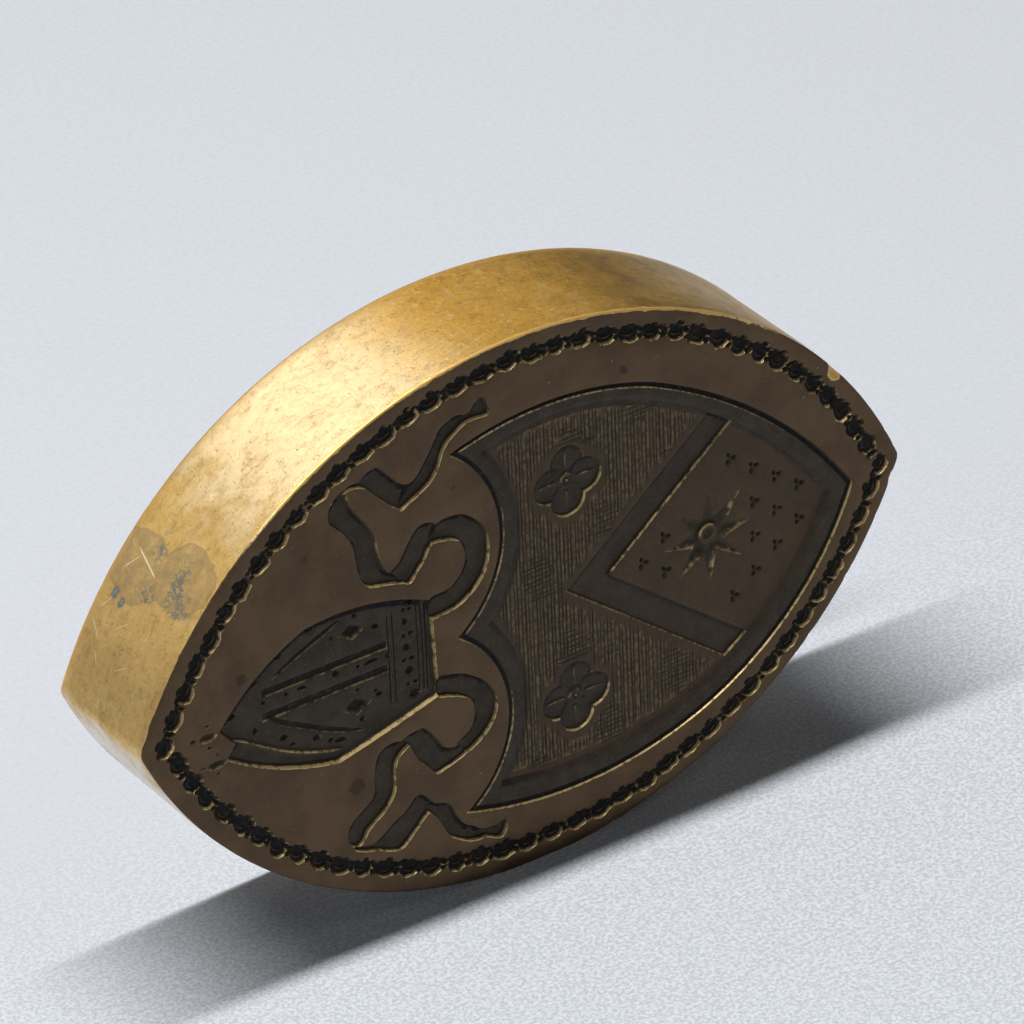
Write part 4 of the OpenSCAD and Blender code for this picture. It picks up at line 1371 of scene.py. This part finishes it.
def side_material():
    s = Shader("worn_brass_side")
    broad = s.noise(12, 3)
    cloud = s.noise(3, 7, 0.65, seed=5)
    mottle = s.noise(0.7, 5, 0.7, stretch=(1.8, 1, 1.8), seed=9)
    pits = s.noise(0.24, 2, stretch=(1.6, 1, 1.6), seed=13)
    flecks = s.noise(0.3, 2, stretch=(2.5, 1, 2.5), seed=21)
    rubs = s.noise(0.9, 4, 0.7, stretch=(1, 1.8, 1), seed=25)
    hairs = s.noise(0.22, 3, 0.7, stretch=(1, 3.5, 1), seed=27)
    creases = s.vein(1.4, 0.022, seed=35)
    glints = s.vein(1.1, 0.014, seed=37)
    scuffs = s.noise(0.5, 4, 0.65, stretch=(1, 1.4, 1), seed=41)
    scuffed = s.mark(*SCUFFED, edge=0.5)
    wear = s.attribute("wear")
    colour = s.mix(s.map(broad, 0.35, 0.65), BRASS, BRASS_DULL)
    # The side's own tones, with its painted highlights, painted shade and painted reflection
    for spot, sizes, tint in BRASS_TONES_AND_PAINTED_LIGHT:
        share = s.mark(spot, sizes, edge=0.45, ragged=s.map(cloud, 0.3, 0.7, -0.25, 0.25))
        colour = s.mix(s.math("MULTIPLY", share, 0.85), colour, tint)
    colour = s.tint(colour, BRASS_TARNISHED, cloud, 0.48, 0.75, 0.26)
    colour = s.tint(colour, BRASS_TARNISHED, mottle, 0.48, 0.72, 0.45)
    colour = s.tint(colour, BRASS_WORN_AND_HIGHLIGHT, rubs, 0.54, 0.7, 0.3)
    colour = s.tint(colour, BRASS_TARNISHED, hairs, 0.6, 0.68, 0.5)
    colour = s.tint(colour, BRASS_TARNISHED, cloud, 0.45, 0.65, 0.4, within=creases)
    colour = s.tint(colour, BRASS_FLECK, cloud, 0.55, 0.35, 0.4, within=glints)
    colour = s.tint(colour, BRASS_TARNISHED, scuffs, 0.4, 0.3, 0.5, within=scuffed)
    colour = s.tint(colour, BRASS_GOLDEN, scuffs, 0.56, 0.68, 0.45, within=scuffed)
    colour = s.tint(colour, BRASS_DARK, pits, 0.66, 0.78, 0.7)
    colour = stained(s, colour, cloud)
    colour = s.tint(colour, BRASS_FLECK, flecks, 0.7, 0.78, 0.8)
    for spot, sizes, turn, share in SCRATCHES:
        colour = s.mix(s.math("MULTIPLY", s.streak(spot, sizes, turn), share), colour, BRASS_FLECK)
    # Orange of the side's first rows below the rim, worn edge and painted highlight, and of the back's rim,
    # wear
    colour = s.mix(s.map(wear, 0.3, 1.0), colour, BRASS_ORANGE)
    metal = s.map(wear, 0.3, 1.0, 1.0, 0.6)
    s.set(Base_Color=colour, Metallic=metal, Roughness=s.map(cloud, 0.3, 0.75, 0.33, 0.46))
    rise = s.math("SUBTRACT", s.math("ADD", mottle, flecks), s.math("MULTIPLY", creases, 0.4))
    s.set(Normal=s.bump(rise, 0.035, 0.45))
    return s.material


def plain_brass(name, colour, tarnish, roughness, seed):
    """Aged brass with soft clouds of tarnish, fine rubbing marks, dark pits and bright flecks."""
    s = Shader(name)
    cloud = s.noise(6, 7, 0.62, seed=seed)
    mottle = s.noise(0.9, 5, 0.7, seed=seed + 1)
    fine = s.noise(0.3, 3, seed=seed + 2)
    rubs = s.noise(0.16, 3, 0.6, stretch=(14, 1, 2), seed=seed + 3)
    cross = s.noise(0.16, 3, 0.6, stretch=(2, 1, 12), seed=seed + 4)
    pits = s.noise(0.35, 2, seed=seed + 5)
    tone = s.tint(colour, tarnish, cloud, 0.42, 0.75, 0.6)
    tone = s.tint(tone, tarnish, mottle, 0.48, 0.75, 0.45)
    tone = s.tint(tone, BRASS_WORN_AND_HIGHLIGHT, rubs, 0.55, 0.72, 0.4)
    tone = s.tint(tone, tarnish, cross, 0.6, 0.74, 0.3)
    tone = s.tint(tone, BRASS_DARK, pits, 0.68, 0.78, 0.7)
    dull = s.map(cloud, 0.3, 0.75, roughness, roughness + 0.14)
    dull = s.math("ADD", dull, s.map(rubs, 0.4, 0.7, 0.05, -0.05))
    s.set(Base_Color=tone, Metallic=1.0, Roughness=dull)
    s.set(Normal=s.bump(s.math("ADD", fine, s.math("ADD", rubs, cross)), 0.02, 0.3))
    return s.material


seal_mesh = build_matrix([
    face_material(),
    side_material(),
    plain_brass("aged_brass_back", BRASS_BACK, BRASS_BACK_TARNISHED, 0.36, 20),
])
seal = bpy.data.objects.new("matrix_engraved", seal_mesh)
bpy.context.scene.collection.objects.link(seal)
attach(seal, "seal")
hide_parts("matrix")
# The floor's shadow stays neutral: no light bounces from the brass onto it
seal.visible_diffuse = False

# The fittings on the back: colour, roughness and width of the worn edges in millimetres
FITTINGS = {
    "hinge_plate": ((0.62, 0.44, 0.2), 0.34, 0.15),
    "handle": ((0.72, 0.52, 0.24), 0.26, 0.15),
    "hinge_pin": ((0.58, 0.44, 0.22), 0.32, 0.1),
    "plate_screws": ((0.55, 0.4, 0.19), 0.36, 0.05),
    "washers": ((0.68, 0.52, 0.27), 0.3, 0.04),
}
WORN_EDGE_ANGLE = 40


def dress_fitting(node, colour, roughness, edge, seed):
    """Aged brass and worn edges on one of the fittings."""
    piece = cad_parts[node]
    piece.data.materials.clear()
    piece.data.materials.append(plain_brass(f"brass_{node}", colour, BRASS_TARNISHED, roughness, seed))
    bevel = piece.modifiers.new("worn_edges", "BEVEL")
    bevel.width = edge * MM
    bevel.segments = 2
    bevel.limit_method = "ANGLE"
    bevel.angle_limit = math.radians(WORN_EDGE_ANGLE)


for seed, (node, (colour, roughness, edge)) in enumerate(FITTINGS.items(), 30):
    dress_fitting(node, colour, roughness, edge, seed)


# The stage: a plain pale floor, soft lights and the camera
SEAL_CENTRE = Vector((0, (FACE_Y + BACK_Y) / 2, CENTRE_Z)) * MM
FLOOR_REACH = 3.0


def area_light(name, direction, distance, sizes, power):
    """A soft oval light towards a direction from the seal, with its sizes along X and across it."""
    light = bpy.data.lights.new(name, "AREA")
    light.shape = "ELLIPSE"
    light.size, light.size_y = sizes
    light.energy = power
    lamp = bpy.data.objects.new(name, light)
    bpy.context.scene.collection.objects.link(lamp)
    way = Vector(direction).normalized()
    side = Vector((way.z, 0, -way.x)).normalized()
    turn = Matrix((side, way.cross(side), way)).transposed().to_4x4()
    lamp.matrix_world = Matrix.Translation(SEAL_CENTRE + way * distance) @ turn
    return lamp


def pale_floor():
    mesh = bpy.data.meshes.new("floor")
    corners = [(-1, -1), (1, -1), (1, 1), (-1, 1)]
    mesh.from_pydata([(FLOOR_REACH * x, FLOOR_REACH * y, 0) for x, y in corners], [], [(0, 1, 2, 3)])
    floor = bpy.data.objects.new("floor", mesh)
    bpy.context.scene.collection.objects.link(floor)
    s = Shader("pale_floor")
    grain = s.noise(0.5, 4, 0.7)
    tooth = s.noise(0.35, 3, 0.7, seed=4)
    far = s.mix(s.map(grain, 0.3, 0.7), *FLOOR_FAR)
    near = s.mix(s.map(tooth, 0.36, 0.64), *FLOOR_NEAR)
    forward = s.mark((0, -60, 0), (400, 70, 50), edge=0.3)
    s.set(Base_Color=s.mix(forward, far, near), Roughness=0.9)
    mesh.materials.append(s.material)
    return floor


# The studio's brightness round the horizon and overhead, heights where it fades, and its colour
HORIZON = 0.034
ZENITH = 0.022
FADE_HEIGHTS = (0.05, 0.6)
STUDIO_COLOUR = (0.9, 0.93, 1.0, 1)


def studio_world():
    """A dim room, a little brighter round the horizon than overhead."""
    world = bpy.data.worlds.new("studio")
    bpy.context.scene.world = world
    world.use_nodes = True
    nodes, links = world.node_tree.nodes, world.node_tree.links
    height = nodes.new("ShaderNodeSeparateXYZ")
    fade = nodes.new("ShaderNodeMapRange")
    fade.inputs["From Min"].default_value, fade.inputs["From Max"].default_value = FADE_HEIGHTS
    fade.inputs["To Min"].default_value = HORIZON
    fade.inputs["To Max"].default_value = ZENITH
    links.new(nodes.new("ShaderNodeTexCoord").outputs["Generated"], height.inputs[0])
    links.new(height.outputs["Z"], fade.inputs["Value"])
    nodes["Background"].inputs["Color"].default_value = STUDIO_COLOUR
    links.new(fade.outputs[0], nodes["Background"].inputs["Strength"])


# Soft lights: direction from the seal, distance and sizes in metres, and power. The first set reaches the
# floor alone, with the seal's shadow in it, and the second only the seal's own surfaces.
FLOOR_LIGHTS = {
    "floor_strip": ((-0.18, 0.05, 1), 0.9, (0.9, 0.05), 8.7),
    "floor_far": ((-0.02, 0.6, 1), 0.9, (0.35, 0.3), 0.38),
    "floor_left": ((-0.69, 0.55, 1), 0.9, (0.2, 0.85), 0.38),
    "floor_front": ((0.23, -0.59, 1), 0.9, (0.25, 0.2), 0.22),
}
CARDS = {
    "overhead": ((-0.28, 0.015, 1), 0.9, (0.5, 0.18), 9.0),
    "behind": ((-0.08, 0.7, 0.7), 0.8, (0.64, 0.45), 1.35),
    "front": ((0.2, -0.65, 1), 0.9, (0.6, 0.6), 0.86),
    "left": ((-0.62, 0.7, 0.36), 0.8, (0.5, 0.5), 0.6),
    "right": ((0.5, 0.71, 0.48), 0.8, (0.4, 0.4), 0.3),
}


def light_only(name, pieces, lights):
    """Soft lights that reach these pieces alone."""
    lit = bpy.data.collections.new(name)
    for piece in pieces:
        lit.objects.link(piece)
    for key, settings in lights.items():
        area_light(key, *settings).light_linking.receiver_collection = lit


# Camera, as fitted to the outline: angles, distance, and how far past the middle it looks
AZIMUTH = math.radians(-32.92)
ELEVATION = math.radians(31.84)
ROLL = math.radians(-2.64)
DISTANCE = 646.0
LENS = 272.4
AIM_RIGHT = 2.04
AIM_UP = 4.86


def photo_camera():
    """The camera at the photograph's viewing angle."""
    level = math.cos(ELEVATION)
    back = Vector((math.sin(AZIMUTH) * level, -math.cos(AZIMUTH) * level, math.sin(ELEVATION)))
    level_right = Vector((math.cos(AZIMUTH), math.sin(AZIMUTH), 0))
    level_up = back.cross(level_right)
    right = level_right * math.cos(ROLL) + level_up * math.sin(ROLL)
    up = level_up * math.cos(ROLL) - level_right * math.sin(ROLL)
    camera = bpy.data.objects.new("camera", bpy.data.cameras.new("camera"))
    bpy.context.scene.collection.objects.link(camera)
    camera.data.lens = LENS
    camera.data.clip_start = 0.01
    place = SEAL_CENTRE + (back * DISTANCE + right * AIM_RIGHT + up * AIM_UP) * MM
    camera.matrix_world = Matrix.Translation(place) @ Matrix((right, up, back)).transposed().to_4x4()
    return camera


floor = pale_floor()
studio_world()
light_only("lit_floor", [floor], FLOOR_LIGHTS)
light_only("lit_by_cards", [seal, *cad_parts.values()], CARDS)
bpy.context.scene.camera = photo_camera()
bpy.context.scene.view_settings.view_transform = "Standard"
